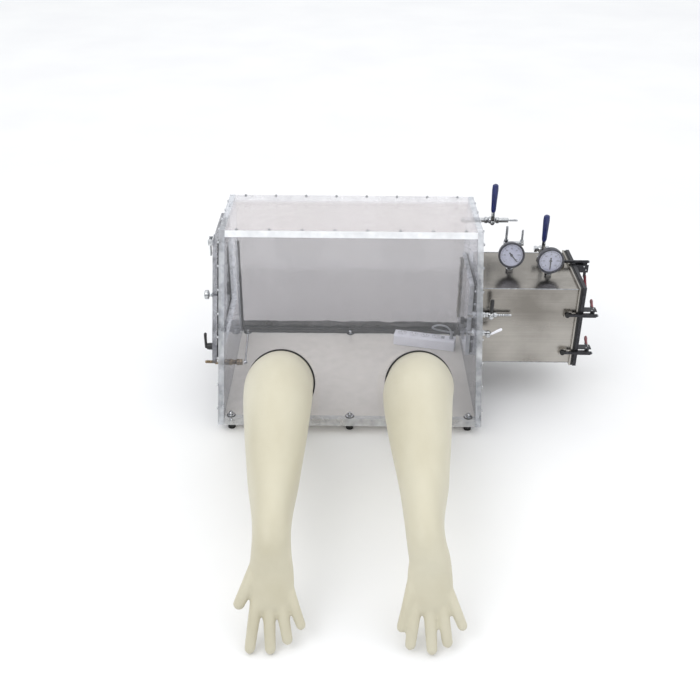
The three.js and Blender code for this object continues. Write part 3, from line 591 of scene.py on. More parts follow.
# ---- carried-over CAD nodes ----
def shade_by_angle(node, angle=35):
    """Rounds the shading of a faceted CAD node: each corner takes the mean of the faces that meet
    there and are nearly in line with its own."""
    data = NODES[node].data
    normals = [polygon.normal.copy() for polygon in data.polygons]
    meeting = {}
    for polygon in data.polygons:
        for index in polygon.vertices:
            key = tuple(round(value, 6) for value in data.vertices[index].co)
            meeting.setdefault(key, []).append(polygon.index)
    limit = math.cos(math.radians(angle))
    corner_normals = [None] * len(data.loops)
    for polygon in data.polygons:
        own = normals[polygon.index]
        for loop in polygon.loop_indices:
            key = tuple(round(value, 6) for value in data.vertices[data.loops[loop].vertex_index].co)
            total = Vector((0, 0, 0))
            for other in meeting[key]:
                if own.dot(normals[other]) > limit:
                    total += normals[other] * data.polygons[other].area
            corner_normals[loop] = (total if total.length > 0 else own).normalized()
    data.shade_smooth()
    data.normals_split_custom_set(corner_normals)


def dress(node, *materials):
    """Gives a CAD node its materials; faces keep the first until another is chosen for them."""
    data = NODES[node].data
    data.materials.clear()
    for material in materials:
        data.materials.append(MATERIALS[material])
    for polygon in data.polygons:
        polygon.material_index = 0
    shade_by_angle(node)


def choose(node, index, wanted):
    """Gives that material to the faces for which wanted(normal, middle in the layout) holds."""
    made = NODES[node]
    turn = made.matrix_world.to_3x3()
    for polygon in made.data.polygons:
        middle = layout(made.matrix_world @ polygon.center)
        if wanted((turn @ polygon.normal).normalized(), middle):
            polygon.material_index = index


def dress_sheet(node, face, thickness, edge="edge"):
    """A clear sheet: its two broad faces get the face material, and its sawn edges another."""
    dress(node, face, edge, "painted_highlight_edge")
    broad = Vector(thickness).normalized()
    choose(node, 1, lambda normal, middle: abs(normal.dot(broad)) < 0.9)


def dress_cad():
    leaning = Vector((0, 1, -LEAN)).normalized()
    for node, face, thickness in (
        ("floor_panel", "floor", Z),
        ("roof_panel", "roof", Z),
        ("back_panel", "back", Y),
        ("front_panel", "sheet", leaning),
        ("left_wall", "wall", X),
        ("right_wall", "wall", X),
        ("inner_door", "sheet", X),
    ):
        dress_sheet(node, face, thickness)
    dress_sheet("left_door", "sheet", X, "smoky_edge")
    # Painted highlight: the front panel's top edge and the roof's front edge take the near-white edge
    # material.
    choose("front_panel", 2, lambda normal, middle: normal.z > 0.9)
    choose("roof_panel", 2, lambda normal, middle: normal.dot(leaning) < -0.9)
    for node in ("port_ring_left", "port_ring_right"):
        dress(node, "port")
    for node in ("left_door_seal", "inner_door_seal", "outer_door_seal"):
        dress(node, "rubber")
    dress("transfer_chamber", "steel")
    for door in ("inner", "left"):
        dress(f"{door}_door_hinge_leaf", "steel")
        dress(f"{door}_hinge_wall_leaf", "steel")
    dress("left_door_catch_base", "chrome")
    dress("outer_door", "steel", "dark_steel")
    plate = span("outer_door_seal")[1].x + 12.3
    # Painted shade: the ears, the rim of the plate and the sides of its low pressing are painted dark, as if
    # in shade.
    choose(
        "outer_door",
        1,
        lambda normal, middle: middle.x > plate + 3.2 or (middle.x < plate and abs(normal.x) < 0.5),
    )


# ---- gloves and their bands ----
CUFF_START = 7.5
CUFF_END = 56
CUFF_RADIUS = 110.5
CUFF_FADE = 60
PORT_HEIGHT = 157
SLEEVE_WALL = 1.2
SKIN_VOXEL = 3.6
WRIST_REACH = 831
WRIST_HEIGHT = 228
FINGER_BEND = 5
HAND_TILT = math.radians(33)
HAND_DOWN = Vector((0, -math.sin(HAND_TILT), -math.cos(HAND_TILT)))
HAND_OUT = X.cross(HAND_DOWN)
# The palm down from the wrist: distance, middle, half width, half thickness.
PALM = [(24, 0, 53, 46), (60, 1, 57, 34), (98, 2, 58, 28)]
PALM += [(130, 3, 54, 24), (152, 4, 46, 18), (163, 5, 34, 9)]
# Each hand: sleeve stations as x, y, z, radius, the wrist's x, how far the palm lies over, and each
# finger's root and tip as (across, down) from the wrist with its radius at both.
HANDS = {
    "left": {
        "stations": [(-223, -200, 278, 107), (-212, -450, 288, 88), (-208, -590, 262, 72.5)],
        "wrist_x": -197,
        "palm_shift": 0,
        "fingers": [
            ((-34, 42), (-80, 142), 21, 14.5),
            ((-33, 118), (-51, 253), 17.5, 13.2),
            ((-4, 122), (1, 254), 17.5, 13.4),
            ((25, 120), (44, 230), 17, 13.2),
            ((44, 100), (78, 194), 16, 12),
        ],
    },
    "right": {
        "stations": [(211, -200, 278, 108), (204, -450, 288, 88), (205, -590, 262, 71)],
        "wrist_x": 202,
        "palm_shift": 5,
        "fingers": [
            ((-30, 60), (-65, 197), 18.5, 12.6),
            ((-27, 118), (-43, 240), 17.5, 13.4),
            ((3, 122), (12, 252), 17.5, 13.4),
            ((33, 120), (51, 234), 17, 13.2),
            ((51, 102), (89, 192), 16, 12.4),
        ],
    },
}


def on_port_axis(hand, distance):
    low, high = span(f"port_ring_{hand}")
    centre = Vector(((low.x + high.x) / 2, front_at(PORT_HEIGHT), PORT_HEIGHT))
    return centre + PORT_AXIS * distance


def wrist_of(hand):
    return Vector((HANDS[hand]["wrist_x"], -WRIST_REACH, WRIST_HEIGHT))


def sleeve_rings(hand):
    """The stations of sleeve and palm as one smooth run."""
    wrist, shift = wrist_of(hand), HANDS[hand]["palm_shift"]
    cuff = (-8, 24, CUFF_END)
    stations = [[*on_port_axis(hand, distance), CUFF_RADIUS, CUFF_RADIUS] for distance in cuff]
    stations += [[x, y, z, radius, radius] for x, y, z, radius in HANDS[hand]["stations"]]
    stations.append([*wrist, 51, 50])
    for distance, middle, wide, thick in PALM:
        stations.append([*(wrist + HAND_DOWN * distance + X * (middle + shift)), wide, thick])
    return smooth_stations(stations, 150)


def glove_form(hand):
    """Sleeve, palm and fingers as overlapping solids."""
    form = Shape("latex")
    form.loft(sleeve_rings(hand), "latex", sides=64)
    wrist = wrist_of(hand)
    for root, tip, thick, thin in HANDS[hand]["fingers"]:
        start = wrist + X * root[0] + HAND_DOWN * root[1]
        end = wrist + X * tip[0] + HAND_DOWN * tip[1]
        middle = start.lerp(end, 0.55) - HAND_OUT * FINGER_BEND
        mean = thick * 0.4 + thin * 0.6 + 0.6
        bones = [[*start, thick, thick], [*middle, mean, mean], [*end, thin + 0.9, thin + 0.9]]
        form.loft(domed(smooth_stations(bones, 10)), "latex", sides=20)
    return form


def wrap_with_skin(shape):
    """Melts overlapping solids into one even skin and smooths it."""
    data = bpy.data.meshes.new("glove_form")
    for vertex in shape.mesh.verts:
        vertex.co *= MM
    bmesh.ops.recalc_face_normals(shape.mesh, faces=shape.mesh.faces)
    shape.mesh.to_mesh(data)
    shape.mesh.free()
    form = add_object("glove_form", data)
    remesh = form.modifiers.new("skin", "REMESH")
    remesh.mode = "VOXEL"
    remesh.voxel_size = SKIN_VOXEL * MM
    smooth = form.modifiers.new("smooth", "SMOOTH")
    smooth.factor = 0.5
    smooth.iterations = 9
    evaluated = form.evaluated_get(bpy.context.evaluated_depsgraph_get())
    skin = bpy.data.meshes.new_from_object(evaluated)
    bpy.data.objects.remove(form)
    bpy.data.meshes.remove(data)
    return skin


def clamp(value):
    return max(0.0, min(1.0, value))


def crease(point):
    """How far a fold in the sleeve moves its skin, in millimetres."""
    share = (point.y + WRIST_REACH) / WRIST_REACH
    slow = noise.noise(Vector((point.x / 90, point.y / 210, point.z / 90)))
    quick = noise.noise(Vector((point.x / 45, point.y / 60, point.z / 45)))
    return 2.6 * slow + 0.8 * quick * clamp(share + 0.3)


def add_glove(hand):
    skin = wrap_with_skin(glove_form(hand))
    shape = Shape("latex")
    shape.add_mesh(skin, Matrix.Scale(1 / MM, 4), "latex")
    bpy.data.meshes.remove(skin)
    for vertex in shape.mesh.verts:
        vertex.normal_update()
    cuff = on_port_axis(hand, CUFF_END)
    for vertex in shape.mesh.verts:
        beyond = (vertex.co - cuff).dot(PORT_AXIS) / CUFF_FADE
        vertex.co += vertex.normal * crease(vertex.co) * clamp(beyond)
    bmesh.ops.bisect_plane(
        shape.mesh,
        geom=list(shape.mesh.verts) + list(shape.mesh.edges) + list(shape.mesh.faces),
        plane_co=on_port_axis(hand, CUFF_START),
        plane_no=-PORT_AXIS,
        clear_outer=True,
    )
    glove = shape.piece(f"latex_glove_{hand}", "chamber", "latex", f"glove_{hand}", sharp=70)
    wall = glove.modifiers.new("wall", "SOLIDIFY")
    wall.thickness = SLEEVE_WALL * MM
    wall.offset = -1


def add_band(hand):
    """The rubber band that holds a cuff on its port ring, with two shallow grooves."""
    inner, outer = CUFF_RADIUS + 0.4, 116
    section = [(inner, 9.4), (outer - 1, 9.4), (outer, 10.4)]
    for groove in (13.4, 19.6):
        section += [(outer, groove - 0.8), (outer - 1.2, groove), (outer, groove + 0.8)]
    section += [(outer, 22.6), (outer - 1, 23.6), (inner, 23.6)]
    band = Shape("rubber")
    band.ring(axes(on_port_axis(hand, 0), X, PORT_AXIS), section, "rubber", sides=96)
    band.piece(f"cuff_strap_{hand}", "chamber", "rubber", f"cuff_band_{hand}")


# ---- feet ----
def threads(radius, low, high, pitch=2.0):
    """The profile of a threaded rod between two heights."""
    points = []
    height = low
    while height < high:
        points += [(radius - 0.8, height), (radius, min(high, height + pitch / 2))]
        height += pitch
    return [*points, (radius - 0.8, high)]


def add_feet():
    pad = [(0, 0), (12, 0), (13, 1), (13, 4), (12, 5), (12.6, 6), (12.6, 9), (11.5, 12), (8, 14.5), (0, 15)]
    washer = [(0, 0), (15, 0), (15.5, 0.8), (15, 1.8), (0, 1.8)]
    cap = [(12.5, 1.8), (13.5, 3), (13, 4), (7.4, 5), (7.4, 12), (5, 15), (0, 16)]
    for row in ("front", "back"):
        for column in ("left", "middle", "right"):
            node = f"foot_{row}_{column}"
            low, high = span(node)
            base = Matrix.Translation(((low.x + high.x) / 2, (low.y + high.y) / 2, 0))
            foot = Shape("rubber", "chrome")
            foot.turned(base, pad, "rubber", 32)
            stem = [(0, 14), *threads(6, 14, FLOOR_TOP + 4), (0, FLOOR_TOP + 4)]
            foot.turned(base, stem, "chrome", 20)
            foot.hexagon(base @ Matrix.Translation((0, 0, 19)), 9.5, 7, "chrome")
            top = base @ Matrix.Translation((0, 0, FLOOR_TOP + 0.3))
            foot.turned(top, washer, "rubber", 32)
            foot.turned(top, [(0, 1.8), *cap], "chrome", 28)
            foot.piece(f"levelling_{node}", "chamber", "rubber", node)


# ---- cap screws, sealant, painted dark reflection ----
def cap_screw(shape, point, out, radius=4.6):
    """A socket head cap screw on a washer, its head out of the sheet."""
    matrix = axes(point, X if abs(out.x) < 0.5 else Y, out)
    washer = [(0, 0), (radius + 2.2, 0), (radius + 2.2, 0.8), (radius, 1.0), (0, 1.0)]
    head = [
        (0, 0.9),
        (radius, 0.9),
        (radius, 4.6),
        (radius - 0.6, 5.2),
        (radius * 0.55, 5.2),
        (radius * 0.5, 2.6),
        (0, 2.4),
    ]
    shape.turned(matrix, washer, "chrome", 20)
    shape.turned(matrix, head, "chrome", 16)


def evenly(first, last, count):
    return [first + (last - first) * k / (count - 1) for k in range(count)]


def wall_screw_places():
    """Y and Z of the screws through a side wall into the floor, roof, back and front."""
    low, high = FLOOR[0].z + PANEL / 2, ROOF[1].z - PANEL / 2
    back = BACK[1].y - PANEL / 2
    places = [(y, low) for y in evenly(50, back - 30, 7)]
    places += [(y, high) for y in evenly(front_at(high) + 40, back - 30, 4)]
    places += [(back, z) for z in evenly(low + 35, high - 30, 7)]
    places += [(front_at(z) + 11.5, z) for z in evenly(low + 35, high - 30, 8)]
    return places


def add_screws():
    left, right = Shape("chrome"), Shape("chrome")
    for y, z in wall_screw_places():
        cap_screw(left, Vector((LEFT_WALL[0].x, y, z)), -X)
        cap_screw(right, Vector((RIGHT_WALL[1].x, y, z)), X)
    face = span("inner_door_seal")[1].x + 0.3
    front = span("inner_door")[0].y - 12
    for z in evenly(180, 425, 6):
        cap_screw(right, Vector((face, front, z)), -X)
    left.piece("screws_left_wall", "chamber", "chrome")
    right.piece("screws_right_wall", "chamber", "chrome")
    roof = Shape("chrome")
    front = ROOF[0].y + 16
    for x in evenly(-390, 390, 8):
        cap_screw(roof, Vector((x, front, ROOF[1].z)), Z, 3.6)
        cap_screw(roof, Vector((x, BACK[1].y - PANEL / 2, ROOF[1].z)), Z, 3.6)
    roof.piece("screws_roof", "chamber", "chrome")


def bead(shape, start, end, width, steps=60):
    """A hand-run bead of sealant between two points, thicker and thinner along its length."""
    rows = []
    for k in range(steps + 1):
        point = start.lerp(end, k / steps)
        wave = 1 + 0.22 * noise.noise(point / 34) + 0.1 * noise.noise(point / 9)
        rows.append([*point, width * wave, width * wave])
    across = Z if abs((end - start).normalized().z) < 0.5 else X
    shape.loft(rows, "sealant", across=across, sides=10)


def sealant_and_painted_reflection(shape, left, right, y, low, high, material):
    """A thin uneven film on the back panel between two heights: partly sealant, partly painted dark
    reflection.
    """
    count = 90
    top = []
    for k in range(count + 1):
        x = right + (left - right) * k / count
        wave = noise.noise(Vector((x / 60, high, 0))) + 0.5 * noise.noise(Vector((x / 17, high, 5)))
        top.append((x, high + 7 * wave))
    matrix = Matrix(((1, 0, 0, 0), (0, 0, -1, y), (0, 1, 0, 0), (0, 0, 0, 1)))
    shape.prism(matrix, [(left, low), (right, low), *top], 0.6, material)


def add_sealant():
    inside_left, inside_right = LEFT_WALL[1].x, RIGHT_WALL[0].x
    back = BACK[0].y
    low = FLOOR_TOP
    made = Shape("sealant", "sealant_and_painted_reflection")
    left, right = inside_left + 8, inside_right - 8
    bead(made, Vector((left, back - 7, low + 7)), Vector((right, back - 7, low + 7)), 7)
    bead(made, Vector((left, back - 5, low + 18)), Vector((right, back - 5, low + 16)), 5)
    # Painted dark reflection: these two films darken the back sheet above its joint with the floor, partly
    # as sealant and partly for the joint's dark reflection.
    sealant_and_painted_reflection(made, left, right, back - 0.5, low + 8, low + 30, "sealant")
    sealant_and_painted_reflection(made, left, right, back - 1.4, low + 10, low + 50, "sealant_and_painted_reflection")
    for x, high, width in ((inside_left + 4, 440, 4.5), (inside_right - 4, 300, 3.5)):
        bead(made, Vector((x, back - 5, low + 10)), Vector((x, back - 5, high)), width)
    made.piece("sealant_beads_and_painted_reflection_film", "chamber", "seal_rubber")


# ---- transfer chamber's edge highlight rods ----
def add_edge_highlight_rods():
    """Bright chrome rods along the transfer chamber's long edges, standing in for the painted highlight line
    on those edges.
    """
    low, high = span("outer_door_seal")
    start, end = RIGHT_WALL[1].x + 3, low.x - 7
    made = Shape("chrome")
    for y in (low.y + 7, high.y - 7):
        for z in (low.z + 7, high.z - 7):
            rows = [[start + (end - start) * k / 40, y, z, 1.5, 1.5] for k in range(41)]
            made.loft(rows, "chrome", across=Y, sides=8)
    made.piece("transfer_chamber_edge_highlight_rods", "chamber", "stainless")


# ---- gauges ----
DIAL_ANGLES = (225, -45)
DIAL_NUMBERS = 6
NUMBER_STEP = 20
NUMBER_INSET = 15.5
PRINT_HEIGHT = 9.15
NEEDLES = {"left": -50, "right": -90}


def number_mesh(text, size):
    curve = bpy.data.curves.new("number", "FONT")
    curve.body = text
    curve.size = size
    curve.align_x = "CENTER"
    curve.align_y = "CENTER"
    curve.extrude = 0.1
    writing = bpy.data.objects.new("number", curve)
    made = bpy.data.meshes.new_from_object(writing)
    bpy.data.objects.remove(writing)
    bpy.data.curves.remove(curve)
    return made


def dial_angle(share):
    first, last = DIAL_ANGLES
    return math.radians(first + (last - first) * share)


def add_dial(name, matrix, radius):
    dial = Shape("dial", "ink")
    dial.turned(matrix, [(0, 8.2), (radius, 8.2), (radius, 9.0), (0, 9.0)], "dial", 64)
    steps = DIAL_NUMBERS * 10
    for k in range(steps + 1):
        size = 6.5 if k % 10 == 0 else 4.5 if k % 5 == 0 else 2.6
        middle = Matrix.Translation((radius - 4 - size / 2, 0, PRINT_HEIGHT))
        tick = Matrix.Rotation(dial_angle(k / steps), 4, "Z") @ middle
        dial.block(matrix @ tick, (size, 1.1 if k % 10 == 0 else 0.6, 0.3), "ink")
    for k in range(DIAL_NUMBERS + 1):
        angle = dial_angle(k / DIAL_NUMBERS)
        digits = number_mesh(str(k * NUMBER_STEP), 6.4)
        ring = radius - NUMBER_INSET
        place = Matrix.Translation((ring * math.cos(angle), ring * math.sin(angle), PRINT_HEIGHT))
        dial.add_mesh(digits, matrix @ place, "ink")
        bpy.data.meshes.remove(digits)
    dial.piece(f"gauge_dial_{name}", "chamber", "white_plastic", outward=False)


def add_gauge_case(name, matrix, outer, inner):
    case = Shape("bezel", "chrome")
    body = [(0, -15), (outer - 10, -15), (outer - 4, -13), (outer - 2, -9), (outer - 2, 7), (0, 7.6)]
    case.turned(matrix, body, "bezel", 64)
    rim = [(inner, 7), (outer - 1, 7), (outer, 8.5), (outer, 13), (outer - 1.2, 15), (inner + 1.4, 15)]
    case.ring(matrix, [*rim, (inner, 13.4)], "bezel", 64)
    centre = matrix.translation
    stem = Matrix.Translation((centre.x, centre.y + 8, span(f"gauge_case_{name}")[0].z))
    case.hexagon(stem, 13, 11, "chrome")
    neck = [(0, 10), (8.5, 10), (8.5, 13), (6.5, 14.5), (6.5, 22), (8.2, 23), (8.2, 26), (6, 27), (6, 32)]
    case.turned(stem, [*neck, (0, 32)], "chrome", 24)
    case.piece(f"gauge_body_{name}", "chamber", "gauge_bezel", f"gauge_case_{name}")


def add_gauge_glass(name, matrix, edge):
    glass = Shape("glass")
    glass.turned(matrix, [(0, 12.8), (edge, 12.8), (edge, 13.6), (28, 14.2), (0, 14.5)], "glass", 64)
    glass.piece(f"gauge_glass_{name}", "chamber", "white_plastic")


def add_pointer(name, matrix):
    pointer = Shape("ink", "chrome")
    turn = matrix @ Matrix.Rotation(math.radians(NEEDLES[name]), 4, "Z")
    blade = [(-12, -2.6), (-4, -1.8), (27, -1.6), (34, 0), (27, 1.6), (-4, 1.8), (-12, 2.6)]
    pointer.prism(turn @ Matrix.Translation((0, 0, 10.6)), blade, 0.7, "ink")
    pointer.turned(turn, [(0, 10.0), (4.6, 10.0), (4.6, 11.6), (3.6, 12.3), (0, 12.4)], "ink", 24)
    pointer.turned(turn, [(0, 12.2), (1.6, 12.2), (1.2, 12.6), (0, 12.7)], "chrome", 12)
    pointer.piece(f"gauge_pointer_{name}", f"gauge_needle_{name}", "gauge_needle", f"gauge_needle_{name}")


def add_gauge(name):
    joint = JOINTS[f"gauge_needle_{name}_turn"]
    out = Vector(joint["axis"])
    if out.y > 0:
        out = -out
    matrix = axes(layout(joint["pos_m"]), X, out)
    low, high = span(f"gauge_case_{name}")
    outer = (high.x - low.x) / 2
    inner = outer - 6.5
    add_gauge_case(name, matrix, outer, inner)
    add_dial(name, matrix, inner - 0.4)
    add_gauge_glass(name, matrix, inner + 0.2)
    add_pointer(name, matrix)


# ---- levers and fittings ----
GRIP_MATERIALS = {"blue_grip": "blue", "black_plastic": "black", "white_plastic": "white"}


def dipped_lever(piece, valve, direction, reach, grip, slot, fat, flat=(13, 3)):
    """A flat steel lever, held by a nut and dipped in vinyl from grip to its end.

    fat is the dipped grip's half width and half thickness, and flat the bare steel's width and
    thickness."""
    node = f"{valve}_valve_lever"
    centre = pivot(f"{valve}_valve_turn")
    matrix = axes(centre, direction, -Y)
    made = Shape("chrome", GRIP_MATERIALS[slot])
    made.turned(matrix, [(0, -4.5), (8, -4.5), (8, 2.5), (7, 3.2), (0, 3.2)], "chrome", 24)
    made.hexagon(matrix @ Matrix.Translation((0, 0, 2.8)), 6, 3.4, "chrome")
    neck = matrix @ Matrix.Translation(((grip + 6) / 2, 0, 0.5))
    made.block(neck, (grip + 6, *flat), "chrome", 0.8)
    wide, thick = fat
    rows = []
    for share, width in ((0, 0.72), (0.06, 0.84), (0.3, 0.9), (0.55, 1.0), (0.8, 1.08), (0.95, 1.0)):
        point = centre + direction * (grip + (reach - grip - thick) * share)
        rows.append([*point, wide * width, thick * width])
    across = direction.cross(-Y).normalized()
    made.loft(domed(rows), GRIP_MATERIALS[slot], across=across, sides=24)
    made.piece(piece, node, slot, node)


def add_levers():
    for name, reach in (("main", 156), ("chamber", 148)):
        dipped_lever(f"ball_valve_lever_{name}", name, Z, reach, 46, "blue_grip", (10.8, 8))
    dipped_lever("purge_lever", "purge", Z, 72, 18, "black_plastic", (6.6, 5.0), (9, 2.5))
    end, centre = span("needle_valve_lever")[1], pivot("needle_valve_turn")
    tilted = Vector((end.x - centre.x, 0, end.z - centre.z)).normalized()
    dipped_lever("needle_lever", "needle", tilted, 56, 14, "white_plastic", (5.0, 4.2), (7, 2.5))


def turned_length(kind, near, far, radius):
    """The outline of one turned length of a fitting."""
    if kind == "barb":
        points = [(radius * 0.75, near)]
        steps = max(2, int((far - near) / 7))
        for k in range(steps):
            base = near + (far - near) * k / steps
            tip = near + (far - near) * (k + 0.85) / steps
            points += [(radius, base + 0.5), (radius * 0.75, tip)]
        points.append((radius * 0.7, far))
    elif kind == "thread":
        points = threads(radius, near, far)
    elif kind == "ball":
        middle, half = (near + far) / 2, (far - near) / 2
        angles = [k / 8 * math.pi for k in range(1, 8)]
        points = [(radius * math.sin(t), middle - half * math.cos(t)) for t in angles]
    else:
        edge = min(0.8, radius / 6)
        points = [(radius - edge, near), (radius, near + edge), (radius, far - edge), (radius - edge, far)]
    return [(0, near), *points, (0, far)]


def fitting(shape, start, direction, runs):
    """A string of turned and hexagonal lengths: (kind, from, to, radius) along a direction."""
    matrix = axes(start, Z if abs(direction.z) < 0.5 else X, direction)
    finish = shape.materials[0]
    for kind, near, far, radius in runs:
        if kind == "hex":
            shape.hexagon(matrix @ Matrix.Translation((0, 0, near)), radius, far - near, finish)
        else:
            shape.turned(matrix, turned_length(kind, near, far, radius), finish)


def through_wall(shape, direction, y, z, reach):
    """A fitting's threaded body through a side wall, with its inner nut and outer flange."""
    inside, outside = abs(LEFT_WALL[1].x), abs(LEFT_WALL[0].x)
    runs = [
        ("thread", inside - 26, outside + 2, 8.8),
        ("hex", inside - 12, inside - 0.3, 12),
        ("round", outside + 0.3, outside + 4, 12.5),
        ("hex", outside + 4, outside + 12, 12),
        ("round", outside + 11, reach, 8.6),
    ]
    fitting(shape, Vector((0, y, z)), direction, runs)


def stem_to_lever(shape, joint, body_y):
    centre = pivot(joint)
    start = Vector((centre.x, body_y, centre.z))
    reach = body_y - centre.y - 5.3
    fitting(shape, start, -Y, [("round", 0, reach - 5, 6), ("round", reach - 6, reach, 4)])


# Each valve on the right wall: how far its middle lies before its body's back, where its wall
# fitting ends, its slot, and the lengths beyond.
WALL_VALVES = {
    "main": (
        14,
        494,
        "dark_steel",
        [
            ("hex", 491, 501, 13.5),
            ("ball", 497, 537, 14),
            ("hex", 533, 543, 13.5),
            ("round", 542, 579, 9),
            ("barb", 578, 614, 4.5),
        ],
    ),
    "purge": (
        12.5,
        468,
        "chrome",
        [("hex", 466, 474, 10), ("ball", 470, 496, 10.5), ("hex", 492, 502, 10), ("barb", 501, 553, 5.5)],
    ),
    "needle": (12.5, 462, "chrome", [("hex", 460, 468, 10), ("ball", 464, 486, 9.8)]),
}


def add_wall_valve(name):
    depth, reach, slot, runs = WALL_VALVES[name]
    y = span(f"{name}_valve_body")[1].y - depth
    z = pivot(f"{name}_valve_turn").z
    body = Shape("chrome")
    through_wall(body, X, y, z, reach)
    fitting(body, Vector((0, y, z)), X, runs)
    stem_to_lever(body, f"{name}_valve_turn", y)
    body.piece(f"{name}_valve_fitting", "chamber", slot, f"{name}_valve_body")


def add_chamber_valve():
    lever = pivot("chamber_valve_turn")
    low, high = span("chamber_valve_body")
    y = high.y - 14
    body = Shape("chrome")
    fitting(body, Vector((lever.x, y, low.z)), Z, [("hex", 0, 9.7, 14), ("round", 9, lever.z - low.z, 8)])
    runs = [("hex", -26, -16, 12.5), ("ball", -19, 19, 13), ("hex", 16, 26, 12.5), ("barb", 25, 50, 6)]
    fitting(body, Vector((lever.x, y, lever.z)), X, runs)
    stem_to_lever(body, "chamber_valve_turn", y)
    body.piece("chamber_valve_fitting", "chamber", "chrome", "chamber_valve_body")


def add_drain_valve():
    centre = pivot("drain_valve_turn")
    body = Shape("brass")
    through_wall(body, -X, centre.y, centre.z, 480)
    inside = abs(LEFT_WALL[1].x)
    runs = [("hex", inside - 48, inside - 38, 12), ("ball", inside - 42, inside - 22, 12)]
    runs.append(("barb", 479, 514, 6))
    fitting(body, Vector((0, centre.y, centre.z)), -X, runs)
    body.piece("drain_valve_fitting", "chamber", "chrome", "drain_valve_body")


def add_drain_lever():
    centre = pivot("drain_valve_turn")
    high = span("drain_valve_lever")[1]
    start = centre + X * 5
    tip = Vector((centre.x + 5, high.y - 7, high.z - 7))
    lever = Shape("chrome")
    hub = axes(centre, Y, X)
    lever.turned(hub, [(0, 0.3), (8, 0.3), (8, 8), (6.5, 9.5), (0, 9.7)], "chrome", 24)
    lever.hexagon(hub @ Matrix.Translation((0, 0, 9)), 5, 3, "chrome")
    widths = ((0, 5), (0.2, 4.2), (0.8, 6), (1, 6.4))
    rows = [[*start.lerp(tip, share), width, 3.2] for share, width in widths]
    lever.loft(domed(rows), "chrome", across=(tip - start).cross(X).normalized(), sides=20)
    lever.piece("drain_lever", "drain_valve_lever", "chrome", "drain_valve_lever")


MANIFOLD = Vector((577, 430, 522))


def add_manifold():
    foot = span("gauge_manifold")[0].z
    rise = MANIFOLD.z - foot
    made = Shape("chrome")
    fitting(made, MANIFOLD - Z * rise, Z, [("hex", 0, 9.7, 14), ("round", 9, rise, 8)])
    fitting(made, MANIFOLD, X, [("hex", -36, -26, 9.5), ("round", -27, 25, 8.5), ("hex", 24, 34, 9.5)])
    fitting(made, MANIFOLD - X * 28, Z, [("hex", 6, 16, 8), ("barb", 15, 66, 5)])
    fitting(made, MANIFOLD + X * 28, Z, [("hex", 6, 14, 7.5), ("barb", 13, 52, 4.5)])
    fitting(made, MANIFOLD + X * 16, Vector((0, -24, 8)).normalized(), [("round", 0, 25, 7)])
    made.piece("manifold_fitting", "chamber", "chrome", "gauge_manifold")


# ---- clamps of the outer door ----
CLAMP_NAMES = ("front_upper", "front_lower", "top", "bottom")
HANDLE_PIVOT = (38, 20)
HOOK_PIVOT = (30, 7)
# The grip's half width and half thickness at shares of its length.
CLAMP_GRIP = [(0, 6.4, 5.0), (0.1, 6.8, 5.4), (0.5, 6.4, 5.0), (0.85, 7.3, 5.8), (1, 6.8, 5.4)]


def clamp_frame(name):
    """The clamp's frame, as in the CAD: x away from the door, y towards its middle, z along the pivots."""
    handle, hook = pivot(f"clamp_{name}_release"), pivot(f"clamp_{name}_hook_lift")
    inward = (handle - hook) - X * (handle - hook).x
    inward.normalize()
    origin = hook - X * HOOK_PIVOT[0] - inward * HOOK_PIVOT[1]
    return Matrix.Translation(origin) @ Matrix((X, inward, X.cross(inward))).transposed().to_4x4()


def add_boss(shape, pin, radius):
    """A clamp pivot's boss with a bright pin through it."""
    shape.turned(pin, [(0, -9.3), (radius, -9.3), (radius, 9.3), (0, 9.3)], "dark_steel", 20)
    shape.turned(pin, [(0, -13), (2.4, -13), (2.4, 13), (0, 13)], "chrome", 12)


def add_clamp_handle(name, matrix):
    x, y = HANDLE_PIVOT
    handle = Shape("dark_steel", "chrome", "red")
    add_boss(handle, matrix @ Matrix.Translation((x, y, 0)), 6)
    for offset in (-4.2, 4.2):
        cheek = matrix @ Matrix.Translation((x, y + 18, offset))
        handle.block(cheek, (8, 34, 2.6), "dark_steel", 0.6)
    rows = []
    for share, wide, thick in CLAMP_GRIP:
        point = matrix @ Vector((x + 2 + 10 * share, y + 28 + 56 * share, 0))
        rows.append([*point, wide, thick])
    across = (matrix.to_3x3() @ Z).normalized()
    handle.loft(domed(rows), "red", across=across, sides=20)
    handle.piece(f"clamp_lever_{name}", f"clamp_handle_{name}", "red_grip", f"clamp_handle_{name}")


def add_clamp_hook(name, matrix):
    inward = matrix.to_3x3() @ Y
    hook = Shape("dark_steel", "chrome", "rubber")
    add_boss(hook, matrix @ Matrix.Translation((*HOOK_PIVOT, 0)), 5.5)
    hook.block(matrix @ Matrix.Translation((30, -1.5, 0)), (10, 17, 10), "dark_steel", 1.2)
    hook.block(matrix @ Matrix.Translation((-7.5, -7, 0)), (109, 8.6, 9.6), "dark_steel", 1.6)
    tip = axes(matrix @ Vector((-56, -13, 0)), X, inward)
    pad = [(0, 0), (7, 0), (8, 1), (8, 3.4), (7.2, 4.2), (8, 5), (8, 9), (7, 10.4), (0, 10.4)]
    hook.turned(tip, pad, "rubber", 24)
    bolt = axes(matrix @ Vector((45, -7, 0)), inward, X)
    hook.turned(bolt, [(0, 0), *threads(3.5, 0, 6, 1.5), (0, 6)], "chrome", 16)
    hook.hexagon(bolt @ Matrix.Translation((0, 0, 2.2)), 5.0, 2.6, "chrome")
    hook.piece(f"clamp_arm_{name}", f"clamp_hook_{name}", "dark_steel", f"clamp_hook_{name}")


def add_clamp(name):
    matrix = clamp_frame(name)
    add_clamp_handle(name, matrix)
    add_clamp_hook(name, matrix)


# ---- door furniture ----
LEAF = 5.3
DOOR_STUD = [(0, -14.6), (3.9, -14.6), (3.9, 1), (0, 1)]


